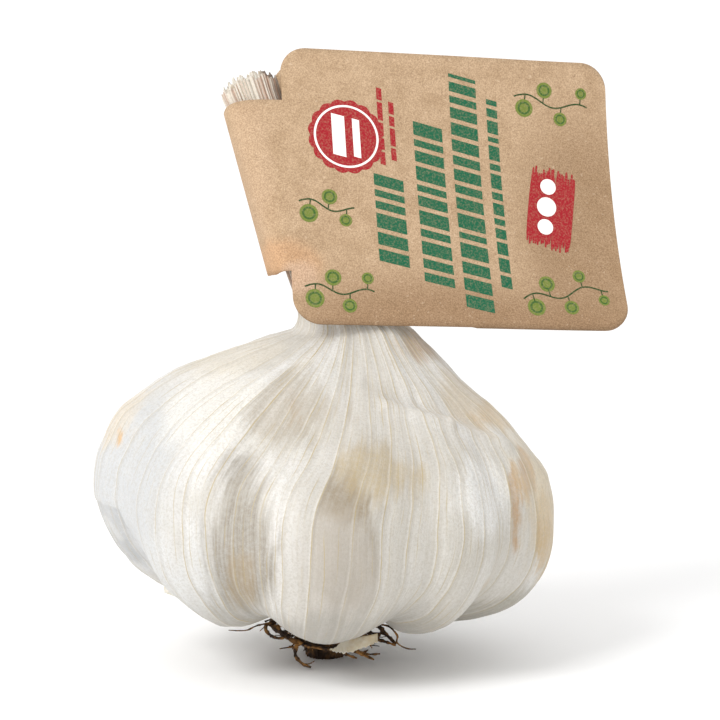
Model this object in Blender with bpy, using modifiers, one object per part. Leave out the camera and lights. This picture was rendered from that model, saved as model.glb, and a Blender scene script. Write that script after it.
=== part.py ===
"""One giant garlic bulb with its dried stem, its trimmed roots and a folded kraft card tag on the stem.

Frame: metres, +Z up. The floor is z = 0, under the trimmed roots, and the origin is at the middle of
the roots' flat end. The viewer looks along +Y, and the card points to +X. Sizes below are in
millimetres. An azimuth is measured in degrees round the bulb, from the viewer's side (-Y) towards +X.
"""

import math
import random
from typing import NamedTuple

import bmesh
import bpy
from mathutils import Vector

MM = 0.001
SEED = 7

# The bulb's middle: the flat root plate inside the hollow underneath, and the neck where the skins meet
PLATE_RADIUS = 9.5
PLATE_HEIGHT = 13.0
PLATE_INNER_SHARE = 0.5
FOOT_SHARE = 0.52  # radius of a clove's lowest point, as a share of its reach
NECK_CENTRE = Vector((5.4, 0.5, 65.8))
NECK_HALF_WIDTH = 13.0
NECK_HALF_DEPTH = 10.5
NECK_LEAD = 3.4  # how far the neck's curve follows the cloves' slope, and the stem's direction

# The stem leans to the left and back
STEM_FOOT = Vector((-1.4, -2.4, 76.8))
STEM_TOP = Vector((-15.4, 9.6, 114.6))
STEM_HALF_WIDTH = 5.6
STEM_HALF_DEPTH = 5.0
STEM_RIDGES = 24
STEM_RIDGE_HEIGHT = 0.4
STEM_FLARE = 0.35  # the last bit of the stem spreads by this much
STEM_FLARE_START = 0.93
CUT_RAGGEDNESS = 1.1
CUT_RINGS = ((0.86, -0.9), (0.7, 0.9), (0.48, -0.2), (0.28, 1.2))  # share of the radius, drop
CUT_MIDDLE_DROP = 0.6

# Points of the bulb's surface: round it, and along each section of its profile
BULB_COLUMNS = 96
BULB_ROWS = (("underside", 5), ("belly", 10), ("flank", 12), ("neck", 6), ("stem", 7))

# A groove between two cloves draws the skin in by this much
GROOVE_REACH = 2.6
GROOVE_FOOT = 3.4
GROOVE_SHOULDER = 1.2
GROOVE_ROUNDING = 0.22

# The kraft card: front and back panels joined by a narrower bridge round the stem
CARD_CORNER = Vector((-5.6, -13.7, 68.3))  # the front panel's lower left corner
CARD_RIGHT = Vector((0.968, 0.248, -0.034))
CARD_UP = Vector((-0.062, 0.367, 0.929))
CARD_WIDTH = 69.8
CARD_HEIGHT = 58.4
CARD_THICKNESS = 0.45
PLY_GAP = 0.18  # between the two plies where they lie together
CARD_CORNER_RADIUS = 5.5
BRIDGE_BOTTOM = 10.9
BRIDGE_TOP = 46.8
BRIDGE_LEFT_BOTTOM = -2.6
BRIDGE_LEFT_TOP = -10.3
BRIDGE_BACK_RISE = 4.4  # the back of the bridge's bottom edge sits this much higher than its front
RISE_START = 60.0  # the rise starts this far round the bridge, in degrees
RISE_LENGTH = 100.0
RISE_OVERLAP = 1.2  # the rise holds this far across the back, as a share of where its tail starts
STEM_CLEARANCE = 0.9
BACK_CURL_START = 2.5  # where the back ply leaves the stem, right of the stem's middle
BACK_CURL_LENGTH = 15.0
BACK_SHIFT_END = 14.0  # left of here the back panel's columns follow the bridge
BACK_TAIL_START = 27.0  # the back panel's lower left corner is cut back clear of the neck
BACK_TAIL_SLANT = 9.0
BACK_TAIL_EDGE = 0.6
CARD_BOW = 3.5
CARD_COLUMN_STEP = 6.0
BRIDGE_ROUNDNESS = 2.8

# Roots, trimmed flat where the bulb stands
PAD_RADII = (4.6, 5.6, 8.4, 9.0, 8.1)  # at even heights from the flat end to the plate
PAD_SIDES = 24
PAD_UNEVENNESS = 0.92, 1.06
ROOT_COUNT = 34
ROOT_POINTS = 6
ROOT_START_RADII = 4.6, 6.2
ROOT_START_HEIGHTS = 4.5, 9.0
ROOT_LOWEST = 3.0
ROOT_LENGTHS = 5.0, 10.0
ROOT_RADII = 0.4, 0.65
ROOT_TIP_SHARE = 0.4
ROOT_FIRST_SLOPES = -0.45, 0.15
ROOT_TURNS = -32.0, 32.0  # how much a root's heading changes at each of its points, in degrees
ROOT_SLOPE_CHANGES = -0.3, 0.25
LONG_ROOT_RADIUS = 0.55
LONG_ROOT_POINTS = 8
LONG_ROOTS = (
    ((-6.0, -3.6, 8.0), (-11.1, -8.0, 8.3), (-13.4, -10.0, 8.2), (-15.5, -12.0, 7.7), (-18.8, -12.6, 7.9)),
    ((-3.2, -4.4, 6.0), (-5.3, -9.8, 4.8), (-5.7, -12.0, 2.7), (-4.3, -13.0, 1.3), (-2.6, -13.6, 0.8)),
    ((-2.4, -4.2, 6.0), (-4.4, -9.5, 5.0), (-2.2, -12.2, 4.5), (1.0, -13.5, 4.2)),
    ((2.4, -4.6, 6.0), (5.5, -11.5, 4.1), (8.0, -14.8, 3.6), (10.0, -16.8, 3.6)),
    ((6.0, -4.0, 7.6), (12.6, -8.4, 7.4), (14.3, -9.8, 5.4), (16.0, -10.8, 3.9), (18.0, -11.2, 3.8)),
)
BULB_GAP = 0.35

# Loose dry skin: a torn flap on the lower left, and a flake under the front clove
LEAF_THICKNESS = 0.3
FLAP_AZIMUTHS = -64.0, -46.0  # of its pointed tip and of its lower end
FLAP_PLACES = 0.37, 0.1  # how far up the belly, at the same two ends
FLAP_WIDTH = 0.16  # of the belly's length
FLAP_ENDS = 0.05  # how blunt the two ends are
FLAP_GAP = 0.6
FLAP_LIFT = 1.8
SCRAP_LEFT_TOP = Vector((1.2, -19.4, 7.0))
SCRAP_RIGHT_TOP = Vector((10.4, -20.4, 9.0))
SCRAP_DROP = 2.4
SCRAP_NARROWING = 0.45  # how much of its drop it loses towards its ends
SCRAP_WAVE = 0.35
SCRAP_LEAN = 1.2  # its lower edge comes this much nearer to the viewer


class Clove(NamedTuple):
    """One clove's bulge, in millimetres but for groove, the azimuth of the groove before it, and
    roundness, the exponent of the superellipse from its foot to its waist."""

    groove: float
    roundness: float
    reach: float
    waist: float
    foot: float
    shoulder: float
    flank_run: float
    flank_drop: float


CLOVES = (
    Clove(-100, 1.75, 46.6, 36.5, 12.5, 19.0, 17.0, 3.5),
    Clove(-60, 1.9, 46.0, 33.5, 9.8, 17.5, 15.0, 8.0),
    Clove(-23, 2.15, 45.5, 31.0, 8.0, 14.0, 13.0, 16.0),
    Clove(27, 2.15, 45.5, 30.0, 8.8, 14.0, 14.0, 16.5),
    Clove(53, 2.2, 46.8, 28.5, 8.4, 18.5, 14.0, 16.5),
    Clove(95, 2.1, 45.5, 29.5, 9.0, 16.0, 14.0, 15.5),
    Clove(135, 2.1, 45.0, 31.0, 9.4, 15.0, 14.0, 12.0),
    Clove(178, 2.0, 45.5, 33.0, 9.6, 16.0, 15.0, 9.0),
    Clove(220, 1.85, 46.0, 35.0, 10.6, 18.0, 16.0, 5.0),
)


def smooth(x):
    """0 below 0, 1 above 1, with level ends."""
    x = min(1.0, max(0.0, x))
    return x * x * (3 - 2 * x)


def groove_after(index):
    return CLOVES[index + 1].groove if index + 1 < len(CLOVES) else CLOVES[0].groove + 360


def clove_middle(index):
    return (CLOVES[index].groove + groove_after(index)) / 2


def groove_depth(share):
    """1 on the groove and 0 on the clove's middle, where share is how far out from the middle a point is."""
    inside = 1 - share
    rounded = math.hypot(inside, GROOVE_ROUNDING) - GROOVE_ROUNDING
    whole = math.hypot(1, GROOVE_ROUNDING) - GROOVE_ROUNDING
    return 1 - math.sin(math.pi / 2 * rounded / whole)


def clove_at(azimuth):
    """The bulge under this azimuth, mixed from the two nearest cloves, with the groove taken off."""
    first = CLOVES[0].groove
    azimuth = (azimuth - first) % 360 + first
    index = max(i for i, clove in enumerate(CLOVES) if clove.groove <= azimuth)
    middle = clove_middle(index)
    half = middle - CLOVES[index].groove
    step = 1 if azimuth >= middle else -1
    other = (index + step) % len(CLOVES)
    away = (clove_middle(other) - middle) * step % 360
    share = smooth(abs(azimuth - middle) / away)
    mixed = [a + (b - a) * share for a, b in zip(CLOVES[index], CLOVES[other])]
    clove = Clove(*mixed)
    depth = groove_depth(abs(azimuth - middle) / half)
    return clove._replace(
        reach=clove.reach - GROOVE_REACH * depth,
        foot=clove.foot + GROOVE_FOOT * depth,
        shoulder=clove.shoulder - GROOVE_SHOULDER * depth,
    )


def bezier(points, t):
    """A point of the cubic through four control values or vectors."""
    a, b, c, d = points
    u = 1 - t
    return a * u**3 + b * 3 * u * u * t + c * 3 * u * t * t + d * t**3


def outward(azimuth):
    turn = math.radians(azimuth)
    return Vector((math.sin(turn), -math.cos(turn), 0))


def neck_radius(azimuth):
    turn = math.radians(azimuth)
    return math.hypot(NECK_HALF_WIDTH * math.sin(turn), NECK_HALF_DEPTH * math.cos(turn))


def underside(clove, t):
    """From the root plate's rim (t = 0) to the clove's foot (t = 1), as radius and height."""
    foot_radius = clove.reach * FOOT_SHARE
    radius = PLATE_RADIUS + (foot_radius - PLATE_RADIUS) * t
    height = clove.foot + (PLATE_HEIGHT - clove.foot) * (1 + math.cos(math.pi * t)) / 2
    return radius, height


def belly(clove, t):
    """From the foot (t = 0) to the widest point, as radius and height."""
    power = 2 / clove.roundness
    foot_radius = clove.reach * FOOT_SHARE
    turn = t * math.pi / 2
    radius = foot_radius + (clove.reach - foot_radius) * math.sin(turn) ** power
    height = clove.waist - (clove.waist - clove.foot) * max(0.0, math.cos(turn)) ** power
    return radius, height


def flank(clove, azimuth, t):
    """From the widest point (t = 0) over the shoulder to the neck (t = 1), as radius and height."""
    neck = neck_radius(azimuth)
    radii = (clove.reach, clove.reach, neck + clove.flank_run, neck)
    top = NECK_CENTRE.z
    heights = (clove.waist, clove.waist + clove.shoulder, top - clove.flank_drop, top)
    return bezier(radii, t), bezier(heights, t)


def stem_axis():
    return (STEM_TOP - STEM_FOOT).normalized()


def ring_directions(axis):
    """The right and front directions of a ring square to the axis."""
    right = (Vector((1, 0, 0)) - axis * axis.x).normalized()
    return right, right.cross(axis)


def ring_point(centre, axis, half_width, half_depth, azimuth):
    right, front = ring_directions(axis)
    turn = math.radians(azimuth)
    return centre + right * half_width * math.sin(turn) + front * half_depth * math.cos(turn)


def neck_point(azimuth, t):
    """From the neck's ring (t = 0) to the stem's foot (t = 1), bending over to the stem's lean."""
    clove = clove_at(azimuth)
    slope = Vector((0, 0, clove.flank_drop)) - outward(azimuth) * clove.flank_run
    start = bulb_point(azimuth, "flank", 1.0)
    end = stem_point(azimuth, 0.0)
    controls = (start, start + slope.normalized() * NECK_LEAD, end - stem_axis() * NECK_LEAD, end)
    return bezier(controls, t)


def stem_ridge(azimuth):
    """The sheath edges that stand out along the stem, from 0 to 1."""
    return abs(math.sin(math.radians(azimuth) * STEM_RIDGES / 2)) ** 0.7


def stem_point(azimuth, t):
    """From the stem's foot (t = 0) to its cut end (t = 1)."""
    ridge = STEM_RIDGE_HEIGHT * stem_ridge(azimuth) * smooth(t * 2)
    flare = STEM_FLARE * smooth((t - STEM_FLARE_START) / (1 - STEM_FLARE_START))
    grown = ridge - STEM_RIDGE_HEIGHT + flare
    centre = STEM_FOOT.lerp(STEM_TOP, t)
    return ring_point(
        centre, stem_axis(), STEM_HALF_WIDTH + grown, STEM_HALF_DEPTH + grown, azimuth
    )


def cut_end_point(azimuth, share, drop):
    """A point of the cut end: share of the stem's radius, and the drop below the rim."""
    draw = random.Random(f"{SEED} {round(azimuth * STEM_RIDGES / 360)} {drop}")
    ragged = draw.uniform(-CUT_RAGGEDNESS, CUT_RAGGEDNESS) * smooth(share * 2)
    centre = STEM_TOP + stem_axis() * (ragged - drop)
    return ring_point(
        centre, stem_axis(), STEM_HALF_WIDTH * share, STEM_HALF_DEPTH * share, azimuth
    )


def bulb_point(azimuth, section, t):
    """The skin's point at this azimuth, where t runs from 0 to 1 along one section, from below upwards."""
    if section == "underside":
        radius, height = underside(clove_at(azimuth), t)
        return outward(azimuth) * radius + Vector((0, 0, height))
    if section == "belly":
        radius, height = belly(clove_at(azimuth), t)
        return outward(azimuth) * radius + Vector((0, 0, height))
    if section == "flank":
        radius, height = flank(clove_at(azimuth), azimuth, t)
        shift = smooth(t) * Vector((NECK_CENTRE.x, NECK_CENTRE.y, 0))
        return shift + outward(azimuth) * radius + Vector((0, 0, height))
    if section == "neck":
        return neck_point(azimuth, t)
    return stem_point(azimuth, t)


def steps(count, first=0.0, last=1.0):
    """count values evenly from first to last, both included."""
    return [first + (last - first) * i / (count - 1) for i in range(count)]


def material(name, colour, roughness):
    made = bpy.data.materials.new(name)
    made.use_nodes = True
    shader = made.node_tree.nodes["Principled BSDF"]
    shader.inputs["Base Color"].default_value = (*colour, 1)
    shader.inputs["Roughness"].default_value = roughness
    shader.inputs["Metallic"].default_value = 0
    return made


def add_object(name, mesh, collection, finish):
    obj = bpy.data.objects.new(name, mesh)
    collection.objects.link(obj)
    mesh.materials.append(finish)
    mesh.shade_smooth()
    return obj


def loft(name, rings, first_pole, last_pole):
    """A closed surface over rings of equal length, ended by a fan to a pole at each end."""
    form = bmesh.new()
    rows = [[form.verts.new(point * MM) for point in ring] for ring in rings]
    low = form.verts.new(first_pole * MM)
    high = form.verts.new(last_pole * MM)
    count = len(rows[0])
    for i in range(count):
        j = (i + 1) % count
        form.faces.new((low, rows[0][j], rows[0][i]))
        form.faces.new((rows[-1][i], rows[-1][j], high))
        for lower, upper in zip(rows, rows[1:]):
            form.faces.new((lower[i], lower[j], upper[j], upper[i]))
    bmesh.ops.recalc_face_normals(form, faces=form.faces)
    mesh = bpy.data.meshes.new(name)
    form.to_mesh(mesh)
    form.free()
    return mesh


def build_bulb(collection, finish):
    """Cloves under tight skins, drawn up into the neck and the dried stem, as one solid."""
    columns = [360 * i / BULB_COLUMNS for i in range(BULB_COLUMNS)]
    inner = PLATE_RADIUS * PLATE_INNER_SHARE
    rings = [[outward(a) * inner + Vector((0, 0, PLATE_HEIGHT)) for a in columns]]
    for section, count in BULB_ROWS:
        start = 0 if section == "underside" else 1
        rings += [[bulb_point(a, section, t) for a in columns] for t in steps(count)[start:]]
    for share, drop in CUT_RINGS:
        rings.append([cut_end_point(a, share, drop) for a in columns])
    low = Vector((0, 0, PLATE_HEIGHT))
    high = STEM_TOP - stem_axis() * CUT_MIDDLE_DROP
    return add_object("bulb", loft("bulb", rings, low, high), collection, finish)


def card_normal():
    return CARD_RIGHT.cross(CARD_UP).normalized()


def card_to_world(across, up, out):
    """A point of the card's own frame: across its width, up its height, and out towards the viewer."""
    return CARD_CORNER + CARD_RIGHT * across + CARD_UP * up + card_normal() * out


def stem_in_card(up):
    """The stem's middle at this height of the card, as across and out."""
    axis = stem_axis()
    start = STEM_FOOT - CARD_CORNER
    travel = (up - start.dot(CARD_UP)) / axis.dot(CARD_UP)
    at = start + axis * travel
    return at.dot(CARD_RIGHT), at.dot(card_normal())


def front_out(across, up):
    """How far the front ply's middle lies from the card's plane: a slight bow away from the viewer."""
    share = up / CARD_HEIGHT
    reach = smooth(across / CARD_WIDTH)
    return -CARD_THICKNESS / 2 - CARD_BOW * reach * 4 * share * (1 - share)


def bridge_share(up):
    """0 at the bridge's bottom edge and 1 at its top edge."""
    return (up - BRIDGE_BOTTOM) / (BRIDGE_TOP - BRIDGE_BOTTOM)


def far_out(up):
    """How far back the card lies behind the stem."""
    return stem_in_card(up)[1] - STEM_HALF_DEPTH - STEM_CLEARANCE - CARD_THICKNESS / 2


def back_start(up):
    """Where the bridge's curve ends and the back panel starts."""
    return max(0.0, stem_in_card(BRIDGE_BOTTOM)[0] * (1 - bridge_share(up)))


def back_rise(up):
    """How much higher the back of the bridge sits than its front, between its two edges."""
    inside = BRIDGE_BOTTOM <= up <= BRIDGE_TOP
    return BRIDGE_BACK_RISE * (1 - bridge_share(up)) if inside else 0


def bridge_point(turn, up):
    """The bridge round the stem's left side: turn runs from 0 at the front panel to 180 at the back panel."""
    angle = math.radians(turn)
    up += back_rise(up) * smooth((turn - RISE_START) / RISE_LENGTH)
    power = 2 / BRIDGE_ROUNDNESS
    left = BRIDGE_LEFT_BOTTOM + (BRIDGE_LEFT_TOP - BRIDGE_LEFT_BOTTOM) * bridge_share(up)
    start = 0 if turn < 90 else back_start(up)
    across = start + (left - start) * max(0.0, math.sin(angle)) ** power
    front, far = front_out(0, up), far_out(up)
    bend = math.copysign(abs(math.cos(angle)) ** power, math.cos(angle))
    return card_to_world(across, up, (front + far) / 2 + (front - far) / 2 * bend)


def front_point(across, up):
    return card_to_world(across, up, front_out(across, up))


def back_point(across, up):
    """The back panel, which comes forward beyond the stem to lie against the front panel."""
    up += back_rise(up) * smooth(RISE_OVERLAP - across / BACK_TAIL_START)
    start = back_start(up)
    if across < BACK_SHIFT_END:
        across = start + across * (BACK_SHIFT_END - start) / BACK_SHIFT_END
    beyond = across - stem_in_card(up)[0] - BACK_CURL_START
    closed = smooth(beyond / BACK_CURL_LENGTH)
    near = front_out(across, up) - CARD_THICKNESS - PLY_GAP
    return card_to_world(across, up, far_out(up) + (near - far_out(up)) * closed)


def corner_inset(across):
    """How much a round corner takes off the height of the card at this distance across."""
    from_edge = min(across, CARD_WIDTH - across)
    over = min(CARD_CORNER_RADIUS, max(0.0, CARD_CORNER_RADIUS - from_edge))
    return CARD_CORNER_RADIUS - math.sqrt(CARD_CORNER_RADIUS**2 - over**2)


def card_columns():
    """Distances across from the left to the right edge, closer together round the corners."""
    corner = [CARD_CORNER_RADIUS * (1 - math.cos(turn)) for turn in steps(5, 0, math.pi / 2)]
    right = [CARD_WIDTH - x for x in reversed(corner)]
    count = round((right[0] - corner[-1]) / CARD_COLUMN_STEP)
    return corner + steps(count + 1, corner[-1], right[0])[1:-1] + right


def card_band(form, columns, rows_of, point_at):
    """One band of the card: columns of points from its lower to its upper edge."""
    grid = [[form.verts.new(point_at(x, up) * MM) for up in rows_of(x)] for x in columns]
    for left, right in zip(grid, grid[1:]):
        for i in range(len(left) - 1):
            form.faces.new((left[i], right[i], right[i + 1], left[i + 1]))


def build_card(collection, finish):
    """The die-cut card: a front and a back panel, joined by the bridge that goes round the stem."""
    columns = card_columns()
    tail_columns = [BACK_TAIL_START] + [x for x in columns if x > BACK_TAIL_START]
    middle_rows = steps(9, BRIDGE_BOTTOM, BRIDGE_TOP)
    form = bmesh.new()

    def lower_rows(across):
        return steps(3, corner_inset(across), BRIDGE_BOTTOM)

    def tail_rows(across):
        slant = max(0.0, 1 - (across - BACK_TAIL_START) / BACK_TAIL_SLANT)
        low = corner_inset(across) + (BRIDGE_BOTTOM - BACK_TAIL_EDGE) * slant
        return steps(3, low, BRIDGE_BOTTOM)

    def upper_rows(across):
        return steps(3, BRIDGE_TOP, CARD_HEIGHT - corner_inset(across))

    card_band(form, columns, lower_rows, front_point)
    card_band(form, columns, lambda x: middle_rows, front_point)
    card_band(form, columns, upper_rows, front_point)
    card_band(form, steps(13, 0, 180), lambda turn: middle_rows, bridge_point)
    card_band(form, tail_columns, tail_rows, back_point)
    card_band(form, columns, lambda x: middle_rows, back_point)
    card_band(form, columns, upper_rows, back_point)
    bmesh.ops.remove_doubles(form, verts=form.verts, dist=0.01 * MM)
    bmesh.ops.recalc_face_normals(form, faces=form.faces)
    mesh = bpy.data.meshes.new("label")
    form.to_mesh(mesh)
    form.free()
    card = add_object("label", mesh, collection, finish)
    thicken(card, CARD_THICKNESS)
    return card


def thicken(obj, thickness):
    solid = obj.modifiers.new("thickness", "SOLIDIFY")
    solid.thickness = thickness * MM
    solid.offset = 0
    solid.use_even_offset = False
    return solid


def union_of(name, pieces, collection, finish):
    """One solid from overlapping pieces."""
    helpers = bpy.data.collections.new(name + "_pieces")
    bpy.context.scene.collection.children.link(helpers)
    for piece in pieces[1:]:
        helpers.objects.link(piece)
    whole = pieces[0]
    bpy.context.scene.collection.objects.link(whole)
    union = whole.modifiers.new("union", "BOOLEAN")
    union.operation = "UNION"
    union.operand_type = "COLLECTION"
    union.collection = helpers
    union.solver = "MANIFOLD"
    graph = bpy.context.evaluated_depsgraph_get()
    mesh = bpy.data.meshes.new_from_object(whole.evaluated_get(graph))
    mesh.name = name
    mesh.materials.clear()
    for piece in pieces:
        bpy.data.objects.remove(piece, do_unlink=True)
    bpy.data.collections.remove(helpers)
    return add_object(name, mesh, collection, finish)


def tapered_tube(points, radius):
    """A tube with closed ends along the points, down to its tip's share of the radius."""
    curve = bpy.data.curves.new("strand", "CURVE")
    curve.dimensions = "3D"
    curve.bevel_depth = radius * MM
    curve.bevel_resolution = 1
    curve.use_fill_caps = True
    spline = curve.splines.new("POLY")
    spline.points.add(len(points) - 1)
    for place, point, share in zip(spline.points, points, steps(len(points), 1, ROOT_TIP_SHARE)):
        place.co = (*(point * MM), 1)
        place.radius = share
    obj = bpy.data.objects.new("strand", curve)
    bpy.context.scene.collection.objects.link(obj)
    graph = bpy.context.evaluated_depsgraph_get()
    mesh = bpy.data.meshes.new_from_object(obj.evaluated_get(graph))
    bpy.data.objects.remove(obj, do_unlink=True)
    form = bmesh.new()
    form.from_mesh(mesh)
    bmesh.ops.remove_doubles(form, verts=form.verts, dist=0.001 * MM)
    bmesh.ops.recalc_face_normals(form, faces=form.faces)
    form.to_mesh(mesh)
    form.free()
    return bpy.data.objects.new("strand", mesh)


def root_pad():
    """The cut-back root plate: a stub with an uneven side that widens upwards from its flat end."""
    top = PLATE_HEIGHT - BULB_GAP
    draw = random.Random(SEED)
    rings = []
    for height, radius in zip(steps(len(PAD_RADII), 0, top), PAD_RADII):
        uneven = [radius * draw.uniform(*PAD_UNEVENNESS) for _ in range(PAD_SIDES)]
        rings.append([
            outward(360 * i / PAD_SIDES) * reach + Vector((0, 0, height))
            for i, reach in enumerate(uneven)
        ])
    return bpy.data.objects.new("pad", loft("pad", rings, Vector((0, 0, 0)), Vector((0, 0, top))))


def underside_height(place):
    """The height of the bulb's underside over this place."""
    radius = math.hypot(place.x, place.y)
    clove = clove_at(math.degrees(math.atan2(place.x, -place.y)))
    share = (radius - PLATE_RADIUS) / (clove.reach * FOOT_SHARE - PLATE_RADIUS)
    return underside(clove, min(1.0, max(0.0, share)))[1]


def strand(draw, azimuth):
    """One dry root: out of the pad at this azimuth, winding down and outwards to a thin tip."""
    radius = draw.uniform(*ROOT_RADII)
    stride = draw.uniform(*ROOT_LENGTHS) / (ROOT_POINTS - 1)
    height = draw.uniform(*ROOT_START_HEIGHTS)
    place = outward(azimuth) * draw.uniform(*ROOT_START_RADII) + Vector((0, 0, height))
    heading, slope = azimuth, draw.uniform(*ROOT_FIRST_SLOPES)
    points = [place]
    for _ in range(ROOT_POINTS - 1):
        heading += draw.uniform(*ROOT_TURNS)
        slope += draw.uniform(*ROOT_SLOPE_CHANGES)
        step = outward(heading) + Vector((0, 0, slope))
        place = place + step.normalized() * stride
        highest = underside_height(place) - BULB_GAP - 2 * radius
        place.z = min(max(place.z, ROOT_LOWEST), highest)
        points.append(place)
    return tapered_tube(points, radius)


def build_roots(collection, finish):
    """The tuft of dry roots round their trimmed pad, as one solid."""
    draw = random.Random(SEED)
    pieces = [root_pad()]
    for i in range(ROOT_COUNT):
        pieces.append(strand(draw, 360 * (i + draw.uniform(-0.4, 0.4)) / ROOT_COUNT))
    for route in LONG_ROOTS:
        path = [on_curve(route, t) for t in steps(LONG_ROOT_POINTS)]
        pieces.append(tapered_tube(path, LONG_ROOT_RADIUS))
    return union_of("roots", pieces, collection, finish)


def on_curve(points, t):
    """A point of the smooth curve through these points, t from 0 to 1."""
    place = t * (len(points) - 1)
    index = min(int(place), len(points) - 2)
    u = place - index
    a = Vector(points[max(index - 1, 0)])
    b, c = Vector(points[index]), Vector(points[index + 1])
    d = Vector(points[min(index + 2, len(points) - 1)])
    return (
        b * 2 + (c - a) * u + (a * 2 - b * 5 + c * 4 - d) * u * u + (b * 3 - a - c * 3 + d) * u**3
    ) / 2


def bulb_normal(azimuth, section, t):
    """The skin's outward direction."""
    here = bulb_point(azimuth, section, t)
    along = bulb_point(azimuth, section, t + 0.02) - here
    round_it = bulb_point(azimuth + 0.5, section, t) - here
    return round_it.cross(along).normalized()


def leaf(name, columns, rows, point_at, thickness, collection, finish):
    """A thin solid over a grid of points, with both of its faces split into triangles alike."""
    form = bmesh.new()
    grid = [[form.verts.new(point_at(u, v) * MM) for v in steps(rows)] for u in steps(columns)]
    for left, right in zip(grid, grid[1:]):
        for i in range(rows - 1):
            form.faces.new((left[i], right[i], right[i + 1]))
            form.faces.new((left[i], right[i + 1], left[i + 1]))
    bmesh.ops.remove_doubles(form, verts=form.verts, dist=0.01 * MM)
    bmesh.ops.recalc_face_normals(form, faces=form.faces)
    mesh = bpy.data.meshes.new(name)
    form.to_mesh(mesh)
    form.free()
    obj = add_object(name, mesh, collection, finish)
    thicken(obj, thickness)
    return obj


def flap_point(u, v):
    """The torn skin at the lower left: u runs from its tip down to its other end, v across it."""
    azimuth = FLAP_AZIMUTHS[0] + (FLAP_AZIMUTHS[1] - FLAP_AZIMUTHS[0]) * u
    width = FLAP_WIDTH * math.sin(math.pi * (FLAP_ENDS + (1 - 2 * FLAP_ENDS) * u))
    t = FLAP_PLACES[0] + (FLAP_PLACES[1] - FLAP_PLACES[0]) * u + (v - 0.5) * width
    stand = FLAP_GAP + FLAP_LIFT * (1 - v) * (1 - u)
    return bulb_point(azimuth, "belly", t) + bulb_normal(azimuth, "belly", t) * stand


def scrap_point(u, v):
    """The flake of dry skin under the front clove: u runs along its upper edge, v down from it."""
    drop = SCRAP_DROP * (1 - SCRAP_NARROWING * (2 * u - 1) ** 2)
    wave = SCRAP_WAVE * math.sin(2 * math.pi * (u + v / 3))
    return SCRAP_LEFT_TOP.lerp(SCRAP_RIGHT_TOP, u) + Vector((0, wave - SCRAP_LEAN * v, -drop * v))


def parent_to_empty(collection):
    """Hangs every piece on one empty at the origin, so that the whole can be moved as one."""
    base = bpy.data.objects.new("base", None)
    for obj in list(collection.objects):
        obj.parent = base
    collection.objects.link(base)


def clear_scene():
    for obj in list(bpy.data.objects):
        bpy.data.objects.remove(obj, do_unlink=True)


def main():
    clear_scene()
    collection = bpy.data.collections.new("giant_garlic_bulb")
    bpy.context.scene.collection.children.link(collection)
    skin = material("garlic_skin", (0.80, 0.76, 0.67), 0.5)
    kraft = material("kraft_card", (0.55, 0.38, 0.24), 0.8)
    root = material("dry_root", (0.07, 0.04, 0.02), 0.9)
    dry_skin = material("dry_skin", (0.72, 0.62, 0.46), 0.6)
    build_bulb(collection, skin)
    build_card(collection, kraft)
    build_roots(collection, root)
    leaf("skin_flap", 12, 6, flap_point, LEAF_THICKNESS, collection, dry_skin)
    leaf("skin_scrap", 10, 5, scrap_point, LEAF_THICKNESS, collection, dry_skin)
    parent_to_empty(collection)


main()
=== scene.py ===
"""Looks of the giant garlic bulb: papery skins with raised veins, a dried stem, dry roots and a kraft tag.

Metres, +Z up, in the frame of the solids. Sizes below are in millimetres and angles in degrees. An
azimuth is measured round the bulb, from the viewer's side (-Y) towards +X.
"""

import math
import random
from typing import NamedTuple

import bmesh
import bpy
import numpy as np
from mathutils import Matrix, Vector, noise


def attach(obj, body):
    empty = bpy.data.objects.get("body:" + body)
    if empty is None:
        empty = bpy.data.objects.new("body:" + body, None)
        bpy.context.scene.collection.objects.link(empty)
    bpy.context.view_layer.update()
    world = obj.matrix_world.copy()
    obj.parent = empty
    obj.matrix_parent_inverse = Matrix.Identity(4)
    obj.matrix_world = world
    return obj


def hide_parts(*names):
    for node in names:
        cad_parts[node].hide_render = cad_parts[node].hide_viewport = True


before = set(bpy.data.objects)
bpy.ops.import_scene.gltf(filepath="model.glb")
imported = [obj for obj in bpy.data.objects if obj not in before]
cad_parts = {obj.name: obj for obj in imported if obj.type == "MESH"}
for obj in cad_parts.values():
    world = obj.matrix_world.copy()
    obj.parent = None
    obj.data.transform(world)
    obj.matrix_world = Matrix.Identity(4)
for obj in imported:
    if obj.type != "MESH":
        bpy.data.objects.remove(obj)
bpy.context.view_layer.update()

MM = 0.001
SEED = 7

# The bulb's driving sizes, as in its solid
PLATE_RADIUS = 9.5
PLATE_HEIGHT = 13.0
FOOT_SHARE = 0.52
NECK_CENTRE = np.array((5.4, 0.5, 65.8))
NECK_HALF_WIDTH = 13.0
NECK_HALF_DEPTH = 10.5
NECK_LEAD = 3.4
STEM_FOOT = np.array((-1.4, -2.4, 76.8))
STEM_TOP = np.array((-15.4, 9.6, 114.6))
STEM_HALF_WIDTH = 5.6
STEM_HALF_DEPTH = 5.0
GROOVE_REACH = 2.6
GROOVE_FOOT = 3.4
GROOVE_SHOULDER = 1.2
GROOVE_ROUNDING = 0.22

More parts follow.
